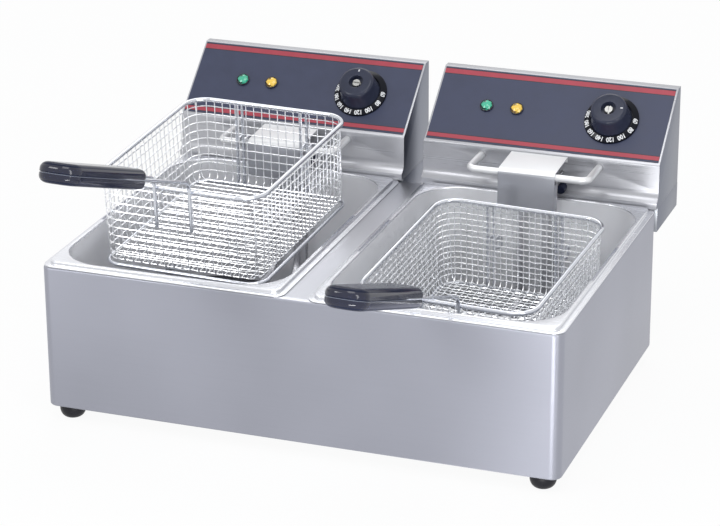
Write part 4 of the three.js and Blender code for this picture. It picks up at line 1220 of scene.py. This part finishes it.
def grip_half(sign):
    """One half of the grip, with a soft round back and a fine chamfer at the seam."""
    low, high = GAP / 2, GRIP_HEIGHT / 2
    chamfer, wall, back, crown = 0.7, 3.2, 8.5, 12.5
    whole = (GRIP_WIDTH, GRIP_LENGTH, GRIP_RADIUS)
    rings = bend_rings(whole, chamfer, low, chamfer, (90, 0))
    rings += bend_rings(whole, back, high, low + wall - high, range(0, 91, 9))
    rings.append(rounded_ring(GRIP_WIDTH - 2 * crown, GRIP_LENGTH - 2 * crown, 6, high))
    points, faces = loft(rings)
    return [(x, y, sign * z) for x, y, z in points], faces


# Finishes in the grip's list. The first is its back's.
SEAM_GLINT, EDGE = 1, 2


def make_grip(side):
    place = basket_frame(side) @ Matrix.Translation(handle_point(0, HANDLE_BARE + GRIP_LENGTH / 2))
    place = place @ turn("X", -HANDLE_ANGLE)
    spot = place @ shift(0, SCREW_Y, 0)
    low = -GRIP_HEIGHT / 2
    floor = low + SCREW_DEPTH
    for name, sign in (("upper", 1), ("lower", -1)):
        half = side_piece(side, f"grip_{name}_half", grip_half(sign), place,
                          "bakelite seam_gray bakelite_edge", "basket", "black_bakelite", f"grip_{name}",
                          smooth=32)
        if sign < 0:
            well = turned([(0, low - 5), (3.8, low - 5), (3.8, floor), (0, floor)], 32)
            carve(half, moved(well, shift(0, SCREW_Y, 0)), place, 32)
        finish_grip(half, (place.to_3x3() @ Vector((0, 0, sign))).normalized(), sign < 0)
    top = GRIP_HEIGHT / 2 - 5
    screw = [(0, floor), (2.6, floor + 0.1), (3.3, floor + 0.7), (3.4, floor + 2.4), (1.9, floor + 2.4)]
    screw += [(1.9, top), (0, top)]
    made = side_piece(side, "grip_screw_head", turned(screw, 24), spot, "zinc", "basket", "bright_wire",
                      "grip_screw")
    carve(made, box_part((-5, -0.5, floor - 1), (5, 0.5, floor + 1)), spot, 35)


def finish_grip(half, up, lower):
    """The lower half's chamfer gets a pale grey as a painted highlight along the seam, and both halves'
    upright sides are glossier.
    """
    for face in half.data.polygons:
        rise = face.normal.dot(up)
        if lower and -0.9 < rise < -0.1:
            face.material_index = SEAM_GLINT
        elif abs(rise) < 0.65:
            face.material_index = EDGE


# ---- stage and light

FLOOR_HALF = 12
FLOOR_GLOW = 0.93


def seen_rays(made):
    """1 for rays from the camera, from a mirror or through glass, and 0 for the rest."""
    total = add_node(made, "LightPath", {}, "Is Camera Ray")
    path = total.node
    for name in ("Is Glossy Ray", "Is Transmission Ray"):
        total = add_node(made, "Math", {0: total, 1: path.outputs[name]}, operation="MAXIMUM")
    return total


def add_floor():
    half = FLOOR_HALF
    corners = [(-half, -half, 0), (half, -half, 0), (half, half, 0), (-half, half, 0)]
    mesh = bpy.data.meshes.new("floor")
    mesh.from_pydata(corners, [], [(0, 1, 2, 3)])
    made = new_material("floor", (0.88, 0.885, 0.89))
    set_sockets(made, {"Roughness": 0.9, "Specular IOR Level": 0.2})
    share = add_node(made, "Math", {0: seen_rays(made), 1: FLOOR_GLOW}, operation="MULTIPLY")
    shader = made.node_tree.nodes["Principled BSDF"].outputs[0]
    mix = add_node(made, "MixShader", {0: share, 1: shader, 2: add_node(made, "Emission", {})})
    set_sockets(made, {"Surface": mix}, "Material Output")
    mesh.materials.append(made)
    linked("floor", mesh)


def add_world():
    """Soft light on the object, and plain white behind it."""
    world = bpy.data.worlds.new("studio")
    bpy.context.scene.world = world
    world.use_nodes = True
    set_sockets(world, {"Color": (0.96, 0.98, 1, 1), "Strength": 0.55}, "Background")
    soft = world.node_tree.nodes["Background"].outputs[0]
    white = add_node(world, "Background", {"Color": (1, 1, 1, 1), "Strength": 1})
    mix = add_node(world, "MixShader", {0: seen_rays(world), 1: soft, 2: white})
    set_sockets(world, {"Surface": mix}, "World Output")


def add_lamp(name, place, target, size, power):
    data = bpy.data.lights.new(name, "AREA")
    data.shape = "RECTANGLE"
    data.size, data.size_y = size
    data.energy = power
    lamp = linked(name, data)
    lamp.location = place
    aim = Vector(target) - Vector(place)
    lamp.rotation_euler = aim.to_track_quat("-Z", "Y").to_euler()


def add_lights():
    add_lamp("key", (-1.6, -1.8, 2.2), (0, 0, 0.1), (0.8, 0.8), 16)
    add_lamp("top_soft", (0.2, -0.6, 2.4), (0, 0, 0.1), (1.2, 1.2), 13)
    add_lamp("rear_soft", (-0.8, 2.2, 2.5), (0, 0, 0.15), (2.0, 1.2), 18)
    add_lamp("side_strip", (1.5, -1.35, 1.1), (0, -0.4, 0.33), (0.4, 1.1), 8)
    add_lamp("low_front", (0.41, -1.05, 0.07), (0.30, -0.15, 0.09), (0.54, 0.12), 4.4)


make_casing()
make_feet()
for each in SIDES:
    make_tank(each)
    make_head(each)
    make_basket(each)
add_floor()
add_world()
add_lights()
bpy.context.scene.view_settings.view_transform = "Standard"
